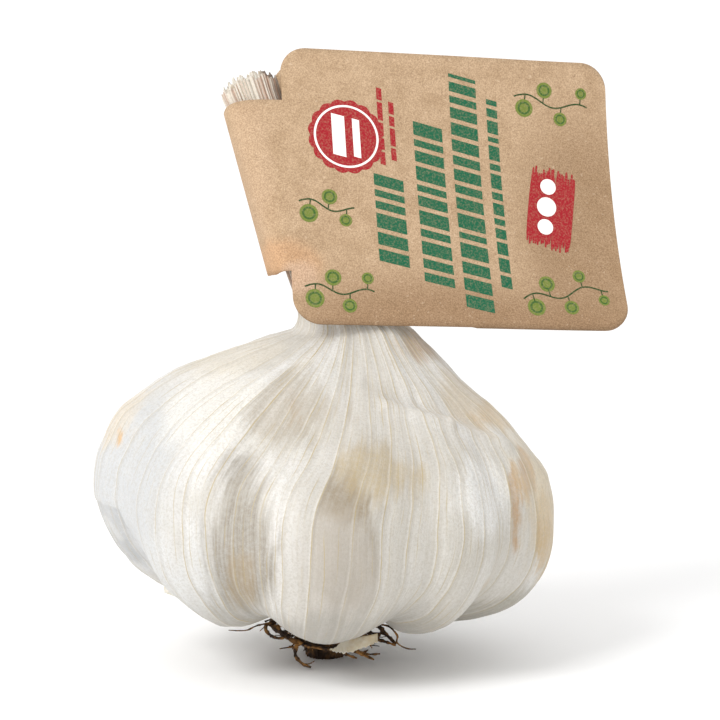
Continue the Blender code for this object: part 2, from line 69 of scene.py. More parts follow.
# The skin's fine surface
VEINS = 48
VEIN_COLUMNS = (0.0, 0.045, 0.1, 0.2, 0.31, 0.42, 0.54, 0.66, 0.77, 0.86, 0.93, 0.97)
SKIN_ROWS = (("underside", 12), ("belly", 46), ("flank", 58), ("neck", 18), ("stem", 30))
FRONT_VEINS = (-64, -51, -41, -33, -27, -20, -12, -6, 1.6, 11.6, 19.3, 26.4, 33.6, 39, 45, 52)
LEFT_VEINS = 15
RIGHT_VEINS = VEINS - LEFT_VEINS - len(FRONT_VEINS)
VEIN_STRAY = 0.27  # how far a vein may stray from its even place, as a share of the gap
VEIN_HEIGHT = 0.12
VEIN_HALF_WIDTH = 0.32
VEIN_STRENGTHS = 0.45, 1.0
LEAN = 3.0
LEAN_MORE = 7.0
LEAN_MIDDLE = 22.0
LEAN_SPREAD = 38.0
LEAN_AT_WAIST = 0.45
LEAN_RUN = 0.6
SWAYS = ((0.9, 1.0, 3), (0.16, 3.3, 4))  # sideways sways of the veins: degrees, fineness and seed
SWAY_CIRCLE = 9.0  # radius of the circle through the noise on which the sways close
SWAY_ROWS = 14  # rows of points to one step up through the noise
SWELLS = ((0.55, 11.0, 1.0, 5), (0.14, 2.6, 0.45, 6))  # rise, size, squeeze of the heights and seed
PILLOW = 0.03  # rise between two veins, as a share of the gap
PLEAT_START = 0.45  # the gathers start this far up the flank, and end on the stem
PLEAT_DEPTH = 0.28
RIB_START = 0.2  # the stem's ribs start this far up the neck
RIB_DEPTH = 0.42
RIB_ROUNDNESS = 0.6
RIB_UNEVENNESS = 0.14
SKIN_INSET = 0.42  # the skin lies this far inside the solid's surface, which leaves room for its relief
RIM_START = 0.85  # the heights of the torn rim set in this far up the stem
RIM_COARSE = -0.9, 0.5
RIM_FINE = 0.3
FLARE_START = 0.9
FLARE = 0.35
BASE_DROP = 0.4  # the skin closes this far below the root plate's height
UV_LENGTH = 10.0  # one unit up in the skin's own coordinates

# The kraft card, as in its solid
CARD_CORNER = np.array((-5.6, -13.7, 68.3))
CARD_RIGHT = np.array((0.968, 0.248, -0.034))
CARD_UP = np.array((-0.062, 0.367, 0.929))
CARD_WIDTH = 69.8
CARD_HEIGHT = 58.4
CARD_THICKNESS = 0.45
PLY_GAP = 0.18
CARD_CORNER_RADIUS = 5.5
BRIDGE_BOTTOM = 10.9
BRIDGE_TOP = 46.8
BRIDGE_LEFT_BOTTOM = -2.6
BRIDGE_LEFT_TOP = -10.3
BRIDGE_BACK_RISE = 4.4
BACK_RISE_END = 1.2  # the back panel's rise ends at this many times its tail's start
STEM_CLEARANCE = 0.9
BACK_CURL_START = 2.5
BACK_CURL_LENGTH = 15.0
BACK_SHIFT_END = 14.0
BACK_TAIL_START = 27.0
BACK_TAIL_SLANT = 9.0
BACK_TAIL_EDGE = 0.6
CARD_BOW = 3.5
CARD_WAVE = 0.22
CARD_WAVE_ACROSS = 8.5
CARD_WAVE_UP = 9.5
BRIDGE_ROUNDNESS = 2.8
CARD_STEP = 1.6
CORNER_STEPS = 14
EDGE_STEPS = 8
MIDDLE_STEPS = 25
BRIDGE_STEPS = 49
RISE_START = 60.0  # the bridge starts to rise this far round, in degrees
RISE_LENGTH = 100.0


class Clove(NamedTuple):
    """One clove's bulge: groove is the azimuth of the groove before it, and roundness the exponent of
    the superellipse from its foot to its waist."""

    groove: float
    roundness: float
    reach: float
    waist: float
    foot: float
    shoulder: float
    flank_run: float
    flank_drop: float


CLOVES = (
    Clove(-100, 1.75, 46.6, 36.5, 12.5, 19.0, 17.0, 3.5),
    Clove(-60, 1.9, 46.0, 33.5, 9.8, 17.5, 15.0, 8.0),
    Clove(-23, 2.15, 45.5, 31.0, 8.0, 14.0, 13.0, 16.0),
    Clove(27, 2.15, 45.5, 30.0, 8.8, 14.0, 14.0, 16.5),
    Clove(53, 2.2, 46.8, 28.5, 8.4, 18.5, 14.0, 16.5),
    Clove(95, 2.1, 45.5, 29.5, 9.0, 16.0, 14.0, 15.5),
    Clove(135, 2.1, 45.0, 31.0, 9.4, 15.0, 14.0, 12.0),
    Clove(178, 2.0, 45.5, 33.0, 9.6, 16.0, 15.0, 9.0),
    Clove(220, 1.85, 46.0, 35.0, 10.6, 18.0, 16.0, 5.0),
)


def smooth(x):
    """0 below 0, 1 above 1, with level ends."""
    x = np.clip(x, 0.0, 1.0)
    return x * x * (3 - 2 * x)


def steps(count, first=0.0, last=1.0):
    """count values evenly from first to last, both included."""
    return [first + (last - first) * i / (count - 1) for i in range(count)]


def groove_after(index):
    return CLOVES[index + 1].groove if index + 1 < len(CLOVES) else CLOVES[0].groove + 360


def clove_middle(index):
    return (CLOVES[index].groove + groove_after(index)) / 2


def groove_depth(share):
    """1 on the groove and 0 on the clove's middle, where share is how far out from the middle a point is."""
    inside = 1 - share
    rounded = math.hypot(inside, GROOVE_ROUNDING) - GROOVE_ROUNDING
    whole = math.hypot(1, GROOVE_ROUNDING) - GROOVE_ROUNDING
    return 1 - math.sin(math.pi / 2 * rounded / whole)


def clove_at(azimuth):
    """The bulge under this azimuth, mixed from the two nearest cloves, with the groove taken off."""
    first = CLOVES[0].groove
    azimuth = (azimuth - first) % 360 + first
    index = max(i for i, clove in enumerate(CLOVES) if clove.groove <= azimuth)
    middle = clove_middle(index)
    half = middle - CLOVES[index].groove
    step = 1 if azimuth >= middle else -1
    other = (index + step) % len(CLOVES)
    away = (clove_middle(other) - middle) * step % 360
    share = smooth(abs(azimuth - middle) / away)
    clove = Clove(*(a + (b - a) * share for a, b in zip(CLOVES[index], CLOVES[other])))
    depth = groove_depth(abs(azimuth - middle) / half)
    return clove._replace(
        reach=clove.reach - GROOVE_REACH * depth,
        foot=clove.foot + GROOVE_FOOT * depth,
        shoulder=clove.shoulder - GROOVE_SHOULDER * depth,
    )


AZIMUTH_STEP = 0.25
AZIMUTHS = np.arange(-180, 180 + AZIMUTH_STEP, AZIMUTH_STEP)
CLOVE_TABLE = np.array([clove_at(azimuth) for azimuth in AZIMUTHS]).T


def cloves_at(azimuths):
    """The bulge under each of these azimuths, read from the table."""
    wrapped = (azimuths + 180) % 360 - 180
    return Clove(*(np.interp(wrapped, AZIMUTHS, row) for row in CLOVE_TABLE))


def bezier(a, b, c, d, t):
    """A point of the cubic through four control values or arrays."""
    u = 1 - t
    return a * u**3 + b * 3 * u * u * t + c * 3 * u * t * t + d * t**3


def outward(azimuths):
    turn = np.radians(azimuths)
    return np.stack([np.sin(turn), -np.cos(turn), np.zeros_like(turn)], axis=-1)


def column(values):
    return np.asarray(values, float)[..., None]


UP = np.array((0.0, 0.0, 1.0))


def unit(vectors):
    """The same directions, each with the length 1."""
    return vectors / np.maximum(np.linalg.norm(vectors, axis=-1, keepdims=True), 1e-9)


def round_axis(azimuths, radius, height):
    """Points at these azimuths, this far from the upright axis and this high."""
    return outward(azimuths) * column(radius) + column(height) * UP


STEM_LENGTH = np.linalg.norm(STEM_TOP - STEM_FOOT)
STEM_AXIS = (STEM_TOP - STEM_FOOT) / STEM_LENGTH
STEM_RIGHT = unit(np.array((1, 0, 0)) - STEM_AXIS * STEM_AXIS[0])
STEM_FRONT = np.cross(STEM_RIGHT, STEM_AXIS)


def stem_at(azimuths, along, grown=0.0):
    """Points of the stem's side, this far along it, from 0 at its foot to 1 at its cut end."""
    turn = column(np.radians(azimuths))
    wide = STEM_RIGHT * (STEM_HALF_WIDTH + column(grown)) * np.sin(turn)
    deep = STEM_FRONT * (STEM_HALF_DEPTH + column(grown)) * np.cos(turn)
    return STEM_FOOT + STEM_AXIS * STEM_LENGTH * column(along) + wide + deep


def flank_at(azimuths, cloves, t):
    turn = np.radians(azimuths)
    neck = np.hypot(NECK_HALF_WIDTH * np.sin(turn), NECK_HALF_DEPTH * np.cos(turn))
    top = NECK_CENTRE[2]
    radius = bezier(cloves.reach, cloves.reach, neck + cloves.flank_run, neck, t)
    rise = bezier(cloves.waist, cloves.waist + cloves.shoulder, top - cloves.flank_drop, top, t)
    return smooth(t) * NECK_CENTRE * (1, 1, 0) + round_axis(azimuths, radius, rise)


def bulb_at(azimuths, section, t):
    """The solid's surface under these azimuths, t from 0 to 1 along one section, from below upwards."""
    cloves = cloves_at(azimuths)
    foot_radius = cloves.reach * FOOT_SHARE
    if section == "underside":
        radius = PLATE_RADIUS + (foot_radius - PLATE_RADIUS) * t
        height = cloves.foot + (PLATE_HEIGHT - cloves.foot) * (1 + math.cos(math.pi * t)) / 2
        return round_axis(azimuths, radius, height)
    if section == "belly":
        power = 2 / cloves.roundness
        radius = foot_radius + (cloves.reach - foot_radius) * math.sin(t * math.pi / 2) ** power
        low = max(0.0, math.cos(t * math.pi / 2)) ** power
        return round_axis(azimuths, radius, cloves.waist - (cloves.waist - cloves.foot) * low)
    if section == "flank":
        return flank_at(azimuths, cloves, t)
    if section == "neck":
        slope = unit(round_axis(azimuths, -cloves.flank_run, cloves.flank_drop))
        start, end = flank_at(azimuths, cloves, 1.0), stem_at(azimuths, 0.0)
        return bezier(start, start + slope * NECK_LEAD, end - STEM_AXIS * NECK_LEAD, end, t)
    return stem_at(azimuths, t)


def normals_of(grid):
    """The outward direction at each point of a grid of rows of points, closed along each row."""
    round_it = np.roll(grid, -1, axis=1) - np.roll(grid, 1, axis=1)
    return unit(np.cross(round_it, np.gradient(grid, axis=0)))


def noise_at(points, scale, seed):
    """Smooth noise from -1 to 1 at each point, with features of about this size."""
    flat = points.reshape(-1, 3) / scale + seed * 17.3
    return np.array([noise.noise(p) for p in flat.tolist()]).reshape(points.shape[:-1])


def link_object(name, mesh):
    obj = bpy.data.objects.new(name, mesh)
    bpy.context.scene.collection.objects.link(obj)
    return obj


def piece(name, mesh, material, slot, *nodes):
    """A piece of the object that moves with it and may stand for nodes of the solids."""
    obj = link_object(name, mesh)
    mesh.materials.append(material)
    mesh.shade_smooth()
    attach(obj, "root")
    if nodes:
        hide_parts(*nodes)
    return obj


def thicken(obj, thickness):
    """Makes a sheet this thick, half of it to each side."""
    solid = obj.modifiers.new("thickness", "SOLIDIFY")
    solid.thickness = thickness * MM
    solid.offset = 0
    solid.use_even_offset = False


def mesh_of(name, points, faces):
    mesh = bpy.data.meshes.new(name)
    mesh.from_pydata((np.asarray(points) * MM).tolist(), [], faces)
    mesh.validate()
    return mesh


def add_values(mesh, name, values):
    """Gives each point of the mesh a number, which the material reads by this name."""
    mesh.attributes.new(name, "FLOAT", "POINT").data.foreach_set("value", np.asarray(values, np.float32))


def grid_faces(rows, columns, closed=False):
    """Quads of a grid of points, which may close on itself along each row."""
    faces = []
    for row in range(rows - 1):
        a, b = row * columns, (row + 1) * columns
        for i in range(columns if closed else columns - 1):
            j = (i + 1) % columns
            faces.append((a + i, a + j, b + j, b + i))
    return faces


def shifted(faces, start):
    """The same faces for points that come after start others."""
    return [tuple(start + i for i in face) for face in faces]


# Low folds of the skin, as (azimuth, height) of both ends, half width and rise
CREASES = (
    ((18, 53.5), (44, 50), 1.2, 0.9),
    ((44, 50), (64, 45.5), 1.1, 0.75),
    ((-30, 60), (-23, 44), 2.2, -0.45),
    ((-96, 53), (-66, 50), 1.8, 0.4),
    ((-90, 46), (-60, 44.5), 2.0, -0.35),
    ((3, 40), (16, 36), 3.2, -0.5),
    ((-12, 47), (8, 45.5), 1.6, 0.35),
    ((2, 43.5), (19, 42.5), 1.5, -0.4),
    ((4, 35.5), (14, 36.5), 1.1, 0.35),
    ((12, 57.5), (36, 54.5), 2.2, -0.6),
    ((36, 54.5), (60, 49.5), 1.8, -0.5),
    ((14, 49), (34, 46), 1.5, -0.35),
    ((-22, 52), (-8, 49), 1.5, -0.3),
    ((28, 44), (40, 47), 1.6, -0.35),
    ((-34, 40), (-27, 30), 1.6, -0.3),
    ((-72, 40), (-60, 36), 1.6, -0.35),
    ((70, 36), (86, 41), 1.4, 0.3),
    ((110, 52), (150, 47), 1.6, 0.4),
    ((175, 55), (215, 50), 1.7, 0.4),
)
UNROLLED_RADIUS = 40.0


def crease_rise(azimuths, heights):
    """How much the low folds lift the skin at each of these azimuths and heights."""
    place = np.stack([np.radians(azimuths) * UNROLLED_RADIUS, heights], axis=-1)
    total = np.zeros_like(heights)
    for start, end, half_width, rise in CREASES:
        a, b = (np.array((math.radians(p[0]) * UNROLLED_RADIUS, p[1])) for p in (start, end))
        share = np.clip(((place - a) @ (b - a)) / ((b - a) @ (b - a)), 0, 1)
        away = np.linalg.norm(place - a - share[..., None] * (b - a), axis=-1)
        total += rise * np.exp(-((away / half_width) ** 2))
    return total


def vein_azimuths():
    """The azimuth of each raised vein, from the back round by the left. Those in front are given one by one.
    """
    draw = random.Random(SEED)
    left = (FRONT_VEINS[0] + 180) / LEFT_VEINS
    right = (180 - FRONT_VEINS[-1]) / (RIGHT_VEINS + 0.5)  # half a gap stays free at the back

    def stray():
        return draw.uniform(-VEIN_STRAY, VEIN_STRAY)

    azimuths = [-180 + left * (k + stray()) for k in range(LEFT_VEINS)]
    azimuths += FRONT_VEINS
    azimuths += [FRONT_VEINS[-1] + right * (k + 1 + stray()) for k in range(RIGHT_VEINS)]
    return np.array(azimuths)


def skin_columns():
    """Each column's place counted in veins, and its azimuth. Columns crowd along the veins."""
    veins = vein_azimuths()
    following = np.append(veins[1:], veins[0] + 360)
    places, azimuths = [], []
    for k in range(VEINS):
        for share in VEIN_COLUMNS:
            places.append(k + share)
            azimuths.append(veins[k] + (following[k] - veins[k]) * share)
    return np.array(places), np.array(azimuths)


def after(start, t):
    """0 up to the start and 1 at 1."""
    return smooth((t - start) / (1 - start))


def rib_share(section, t):
    """0 below the neck, rising to 1 on the stem."""
    return {"neck": after(RIB_START, t), "stem": 1.0}.get(section, 0.0)


def pleat_share(section, t):
    """How deep the gathers are: they start over the shoulder and end on the stem."""
    return {"flank": after(PLEAT_START, t), "neck": 1 - 0.5 * t}.get(section, 0.0)


def lean_share(section, t):
    """How much of their whole sideways lean the veins have: none at the shoulder, all at the foot."""
    if section == "flank":
        return LEAN_AT_WAIST * (1 - smooth(t / LEAN_RUN))
    return {"underside": 1.0, "belly": 1 - (1 - LEAN_AT_WAIST) * smooth(t)}.get(section, 0.0)


def lean_at(azimuths):
    """The whole lean of a vein at each azimuth, in degrees. Those right of the middle lean the most."""
    away = (azimuths - LEAN_MIDDLE + 180) % 360 - 180
    return -LEAN - LEAN_MORE * np.exp(-((away / LEAN_SPREAD) ** 2))


def rim_heights(places):
    """How far the torn sheath ends stand above or below the stem's cut, for each place counted in veins."""
    draw = random.Random(SEED + 2)
    coarse = np.array([draw.uniform(*RIM_COARSE) for _ in range(VEINS)])
    fine = np.array([draw.uniform(-RIM_FINE, RIM_FINE) for _ in places])
    return coarse[np.floor(places).astype(int)] + fine


def skin_grid(rows, places, azimuths):
    """The azimuths of the skin's points, which sway and lean, and the points on the solid's surface."""
    turns = np.radians(azimuths)
    circle = SWAY_CIRCLE * np.stack([np.cos(turns), np.sin(turns)], axis=-1)
    rim = rim_heights(places) / STEM_LENGTH
    turned, grid = [], []
    for row, (section, t) in enumerate(rows):
        sample = np.column_stack([circle, np.full(len(places), row / SWAY_ROWS)])
        sway = sum(size * noise_at(sample * fineness, 1.0, seed) for size, fineness, seed in SWAYS)
        here = azimuths + sway + lean_at(azimuths) * lean_share(section, t)
        along = t + rim * after(RIM_START, t) if section == "stem" else t
        turned.append(here)
        grid.append(bulb_at(here, section, along))
    return np.array(turned), np.array(grid)


def add_skin_coordinates(mesh, places, grid):
    """Coordinates for the skin's material: across, counted in veins, and the length up from the foot."""
    rows, columns = grid.shape[:2]
    steps_up = np.linalg.norm(np.diff(grid, axis=0), axis=-1).mean(axis=1)
    lengths = np.concatenate([[0], np.cumsum(steps_up), [0]]) / UV_LENGTH
    points = np.empty(len(mesh.loops), np.int32)
    mesh.loops.foreach_get("vertex_index", points)
    across = places[points % columns]
    quads = np.arange(len(points)) // 4
    closing = (quads % columns == columns - 1) & (quads < (rows - 1) * columns)
    across[closing & (points % columns == 0)] = VEINS
    layer = mesh.uv_layers.new(name="veins")
    corners = np.stack([across, lengths[points // columns]], axis=-1)
    layer.data.foreach_set("uv", corners.astype(np.float32).ravel())


def build_skin(material):
    """The outer skins with their veins, gathers and folds, up through the neck to the stem's rim."""
    places, azimuths = skin_columns()
    rows = []
    for section, count in SKIN_ROWS:
        first = 0 if section == "underside" else 1
        rows += [(section, t) for t in steps(count)[first:]]
    draw = random.Random(SEED + 1)
    strengths = np.array([draw.uniform(*VEIN_STRENGTHS) for _ in range(VEINS)])
    gathers = np.array([draw.uniform(-1, 1) for _ in range(VEINS)])
    whole = np.floor(places).astype(int)
    share = places - whole
    following = (whole + 1) % VEINS
    gather = gathers[whole] + (gathers[following] - gathers[whole]) * smooth(share)
    strength = strengths[np.where(share > 0.5, following, whole)]

    turned, grid = skin_grid(rows, places, azimuths)
    veins = grid[:, share == 0]
    gaps = np.linalg.norm(np.roll(veins, -1, axis=1) - veins, axis=-1)[:, whole]
    from_vein = np.minimum(share, 1 - share) * gaps
    pleats, ribbed = (column([share_of(*row) for row in rows]) for share_of in (pleat_share, rib_share))
    skin = VEIN_HEIGHT * strength * np.clip(1 - from_vein / VEIN_HALF_WIDTH, 0, 1)
    skin += PILLOW * gaps * np.sin(np.pi * share) + PLEAT_DEPTH * pleats * gather
    for size, scale, squeeze, seed in SWELLS:
        skin += size * noise_at(grid * (1, 1, squeeze), scale, seed)
    skin += crease_rise(turned, grid[..., 2]) - TEAR_DEPTH * torn_share(grid) - SKIN_INSET
    ribs = RIB_DEPTH * (np.abs(np.sin(np.pi * places)) ** RIB_ROUNDNESS - 1) + RIB_UNEVENNESS * gather
    flare = column([FLARE * after(FLARE_START, t) if section == "stem" else 0.0 for section, t in rows])
    rise = skin * (1 - ribbed) + (ribs + flare) * ribbed
    grid += normals_of(grid) * column(rise)

    points = np.concatenate([grid.reshape(-1, 3), [UP * (PLATE_HEIGHT - BASE_DROP)]])
    faces = grid_faces(len(rows), len(places), closed=True)
    faces += [(i, len(points) - 1, (i + 1) % len(places)) for i in range(len(places))]
    mesh = mesh_of("bulb_skin", points, faces)
    add_skin_coordinates(mesh, places, grid)
    add_values(mesh, "vein_gap", np.append(gaps, 1.0))
    add_values(mesh, "vein_strength", np.append(np.tile(strength, len(rows)), 0.0))
    add_values(mesh, "on_stem", np.append(np.repeat(ribbed, len(places)), 0.0))
    piece("bulb_skin", mesh, material, "garlic_skin", "bulb")


# The torn edge of the outer skin on the left clove: two of its points, and how far down the gap reaches
TEAR_TOP = np.array((-42.6, -18.4, 37.0))
TEAR_BOTTOM = np.array((-34.2, -22.4, 21.5))
TEAR_OUT = np.array((-0.88, -0.46, -0.12))
TEAR_ACROSS = unit(np.cross(TEAR_BOTTOM - TEAR_TOP, TEAR_OUT))
TEAR_DEPTH = 0.3
TEAR_EDGE = 0.8
TEAR_HEIGHTS = 20.0, 33.5
TEAR_FADES = 1.5, 1.0  # it fades in over these lengths from its lowest and highest place
TEAR_BACK = 6.0
TEAR_BACK_FADE = 2.0
TEAR_LEFT_FADE = 5.0


def torn_share(points):
    """1 where the outer skin is torn off the left clove's lower side, and 0 elsewhere."""
    x, y, z = np.moveaxis(points, -1, 0)
    low = smooth((z - TEAR_HEIGHTS[0]) / TEAR_FADES[0])
    high = smooth((TEAR_HEIGHTS[1] - z) / TEAR_FADES[1])
    near = smooth((TEAR_BACK - y) / TEAR_BACK_FADE) * smooth(-x / TEAR_LEFT_FADE)
    return smooth((points - TEAR_TOP) @ TEAR_ACROSS / TEAR_EDGE) * low * high * near


class Nodes:
    """Shorthand for the nodes of one material. A node's inputs are given in order, or by name or index."""

    def __init__(self, name):
        self.material = bpy.data.materials.new(name)
        self.material.use_nodes = True
        self.tree = self.material.node_tree
        self.coordinates = self.add("ShaderNodeTexCoord").outputs["Object"]

    def add(self, kind, **settings):
        node = self.tree.nodes.new(kind)
        for name, value in settings.items():
            setattr(node, name, value)
        return node

    def fill(self, node, values):
        """Sets inputs of a node to values, or links them to other nodes' outputs."""
        for key, value in values.items() if isinstance(values, dict) else enumerate(values):
            if isinstance(value, bpy.types.NodeSocket):
                self.tree.links.new(value, node.inputs[key])
            else:
                node.inputs[key].default_value = value

    def result(self, kind, values, output=0, **settings):
        """Adds a node, fills its inputs and returns one of its outputs."""
        node = self.add(kind, **settings)
        self.fill(node, values)
        return node.outputs[output]

    def math(self, operation, *values, clamp=False):
        return self.result("ShaderNodeMath", values, operation=operation, use_clamp=clamp)

    def times(self, product, *others):
        """The product of two or more values."""
        for other in others:
            product = self.math("MULTIPLY", product, other)
        return product

    def vector(self, operation, *values, output="Vector"):
        return self.result("ShaderNodeVectorMath", values, output, operation=operation)

    def part(self, vector, axis):
        return self.result("ShaderNodeSeparateXYZ", (vector,), axis)

    def noise(self, scale, detail, roughness=0.5, place=None):
        """Noise by the place on the object, or by another vector."""
        place = self.coordinates if place is None else place
        values = {"Vector": place, "Scale": scale, "Detail": detail, "Roughness": roughness}
        return self.result("ShaderNodeTexNoise", values)

    def ramp(self, value, low, high, bottom=0.0, top=1.0):
        """A smooth step from bottom to top as the value goes from low to high."""
        values = (value, low, high, bottom, top)
        return self.result("ShaderNodeMapRange", values, interpolation_type="SMOOTHSTEP")

    def mix(self, share, first, second, blend="MIX"):
        colours = {0: share, 6: first, 7: second}
        return self.result("ShaderNodeMix", colours, 2, data_type="RGBA", blend_type=blend)

    def attribute(self, name, output="Fac"):
        return self.add("ShaderNodeAttribute", attribute_name=name).outputs[output]

    def offset(self, point):
        """How far the surface is from a point given in millimetres, as a vector in metres."""
        return self.vector("SUBTRACT", self.coordinates, tuple(c * MM for c in point))

    def patch(self, centre, radii, ragged, unevenness):
        """1 inside a soft-edged patch round a point given in millimetres, and 0 outside it. The
        unevenness, about 0.5, moves its edge in and out."""
        scaled = self.vector("MULTIPLY", self.offset(centre), tuple(1 / (r * MM) for r in radii))
        length = self.vector("LENGTH", scaled, output="Value")
        distance = self.math("MULTIPLY_ADD", unevenness, ragged, length)
        return self.ramp(distance, *(edge + ragged / 2 for edge in PATCH_EDGES))

    def tint(self, base, patches, unevenness, *masks):
        """Lays patches of other colours over the base colour."""
        for i, (colour, share, centre, radii, ragged) in enumerate(patches):
            patch = self.patch(centre, radii, ragged, unevenness[i % len(unevenness)])
            base = self.mix(self.times(patch, share, *masks), base, rgb(*colour))
        return base

    def beyond(self, point, direction):
        """How far beyond a plane the surface is, in metres, from the plane's point in millimetres."""
        return self.vector("DOT_PRODUCT", self.offset(point), tuple(direction), output="Value")

    def chance(self, value, seed):
        """A random number from 0 to 1 for each whole number."""
        place = {"W": self.math("ADD", value, seed)}
        return self.result("ShaderNodeTexWhiteNoise", place, noise_dimensions="1D")

    def bump(self, height, distance, strength, below=None):
        values = {"Height": height, "Distance": distance, "Strength": strength}
        return self.result("ShaderNodeBump", values if below is None else values | {"Normal": below})

    def finish(self, colour, roughness, specular=0.5, normal=None, scatter=()):
        """Fills the shader and returns the material. scatter says how strongly light scatters inside it,
        how far each colour goes, and the scale of that in metres."""
        values = {"Base Color": colour, "Roughness": roughness, "Specular IOR Level": specular}
        values |= zip(("Subsurface Weight", "Subsurface Radius", "Subsurface Scale"), scatter)
        if normal is not None:
            values["Normal"] = normal
        self.fill(self.tree.nodes["Principled BSDF"], values)
        return self.material


def rgb(red, green, blue):
    """The linear colour of an sRGB colour given from 0 to 255."""
    def linear(c):
        c /= 255
        return c / 12.92 if c <= 0.04045 else ((c + 0.055) / 1.055) ** 2.4
    return (linear(red), linear(green), linear(blue), 1.0)


PATCH_EDGES = 1.15, 0.55  # a patch starts and is whole at these shares of its radii
# Tints that the skins have in places, and painted shade where marked: colour, how strong, middle, radii,
# raggedness
SKIN_TINTS_AND_SHADE = (
    ((190, 192, 194), 0.95, (-39, -22, 38), (20, 20, 28), 0.2),
    # painted shade: darker low on the front left clove
    ((210, 211, 210), 0.6, (-26, -30, 20), (12, 14, 14), 0.6),
    # painted shade: the right front darker, away from the light
    ((178, 173, 162), 0.6, (28, -34, 28), (24, 24, 30), 0.4),
    ((222, 221, 218), 0.9, (31, -30, 38), (7, 12, 12), 0.7),
    ((226, 223, 216), 0.7, (-20, -24, 53), (13, 16, 12), 0.3),
    ((168, 158, 142), 0.8, (-5, -26, 50), (9, 12, 12), 0.9),
    # painted shade in the groove between the front left and front cloves, with the grey-brown of the skin
    # there
    ((138, 130, 117), 0.9, (-14.0, -38, 29), (7.0, 16, 17), 0.6),
    ((156, 134, 98), 0.6, (-14.5, -40, 20), (3, 16, 9), 1.2),
    ((152, 142, 127), 0.85, (4.4, -45, 31), (6.0, 10, 16), 0.7),
    ((132, 114, 84), 0.6, (5, -44, 38), (5, 10, 3.5), 1.2),
    ((172, 154, 120), 0.75, (13, -40, 44), (9, 12, 8), 0.8),
    ((146, 114, 74), 0.5, (18, -38, 46), (3, 8, 2.2), 1.3),
    # painted shade: darker low on the front clove
    ((184, 177, 168), 0.5, (2, -44, 24), (8, 10, 13), 0.9),
    ((158, 126, 90), 0.75, (17, -4, 63), (6, 10, 4.5), 0.9),
    ((182, 164, 136), 0.65, (29, -12, 53), (9, 14, 8), 0.8),
    ((194, 172, 132), 0.5, (42, -14, 33), (6, 14, 13), 1.2),
    ((164, 120, 66), 0.7, (39, -18, 41), (2.2, 10, 7), 1.4),
    ((168, 126, 70), 0.75, (36.5, -24, 36), (1.4, 10, 12), 1.4),
    ((178, 146, 92), 0.6, (42.5, -14, 27), (2.4, 10, 9), 1.4),
    ((180, 150, 98), 0.6, (31, -32, 17), (2.0, 10, 7), 1.5),
    ((186, 156, 112), 0.5, (33, -6, 50), (8, 14, 2.4), 1.3),
    ((212, 198, 170), 0.4, (42, 0, 42), (12, 40, 12), 0.9),
    ((216, 196, 164), 0.5, (-42, -4, 50), (10, 24, 6), 0.9),
    ((216, 202, 172), 0.25, (-20, -6, 62), (16, 16, 4), 0.9),
    ((204, 156, 84), 0.75, (-39.8, -18, 47.2), (1.3, 6, 2.6), 1.3),
    ((158, 128, 90), 0.4, (-5.0, -30, 53), (2.4, 8, 5), 1.6),
    # painted shade under the right cloves
    ((132, 126, 108), 0.75, (38, -20, 9), (18, 22, 8), 0.6),
    # painted shade under the front of the bulb
    ((156, 152, 144), 0.75, (0, -30, 8), (44, 30, 10), 0.6),
    ((176, 160, 132), 0.5, (10, 40, 40), (20, 16, 16), 1.1),
    ((176, 146, 108), 0.5, (-20, 38, 30), (8, 14, 14), 1.2),
)
INNER_SKIN = rgb(192, 192, 191)
VEIN_COLOUR = rgb(174, 156, 114)
FINE_VEINS = 3  # so many faint lines to each vein
STREAKS = 3
TEAR_WAVE = 0.0022
TEAR_FRONT_FADE = -0.012, -0.02
PAPER_GLOW = (1.0, 0.8, 0.6)
FIBRE_DEPTH = 0.00016
CRUMPLE_DEPTH = 0.00012
PORE_DEPTH = 0.00009


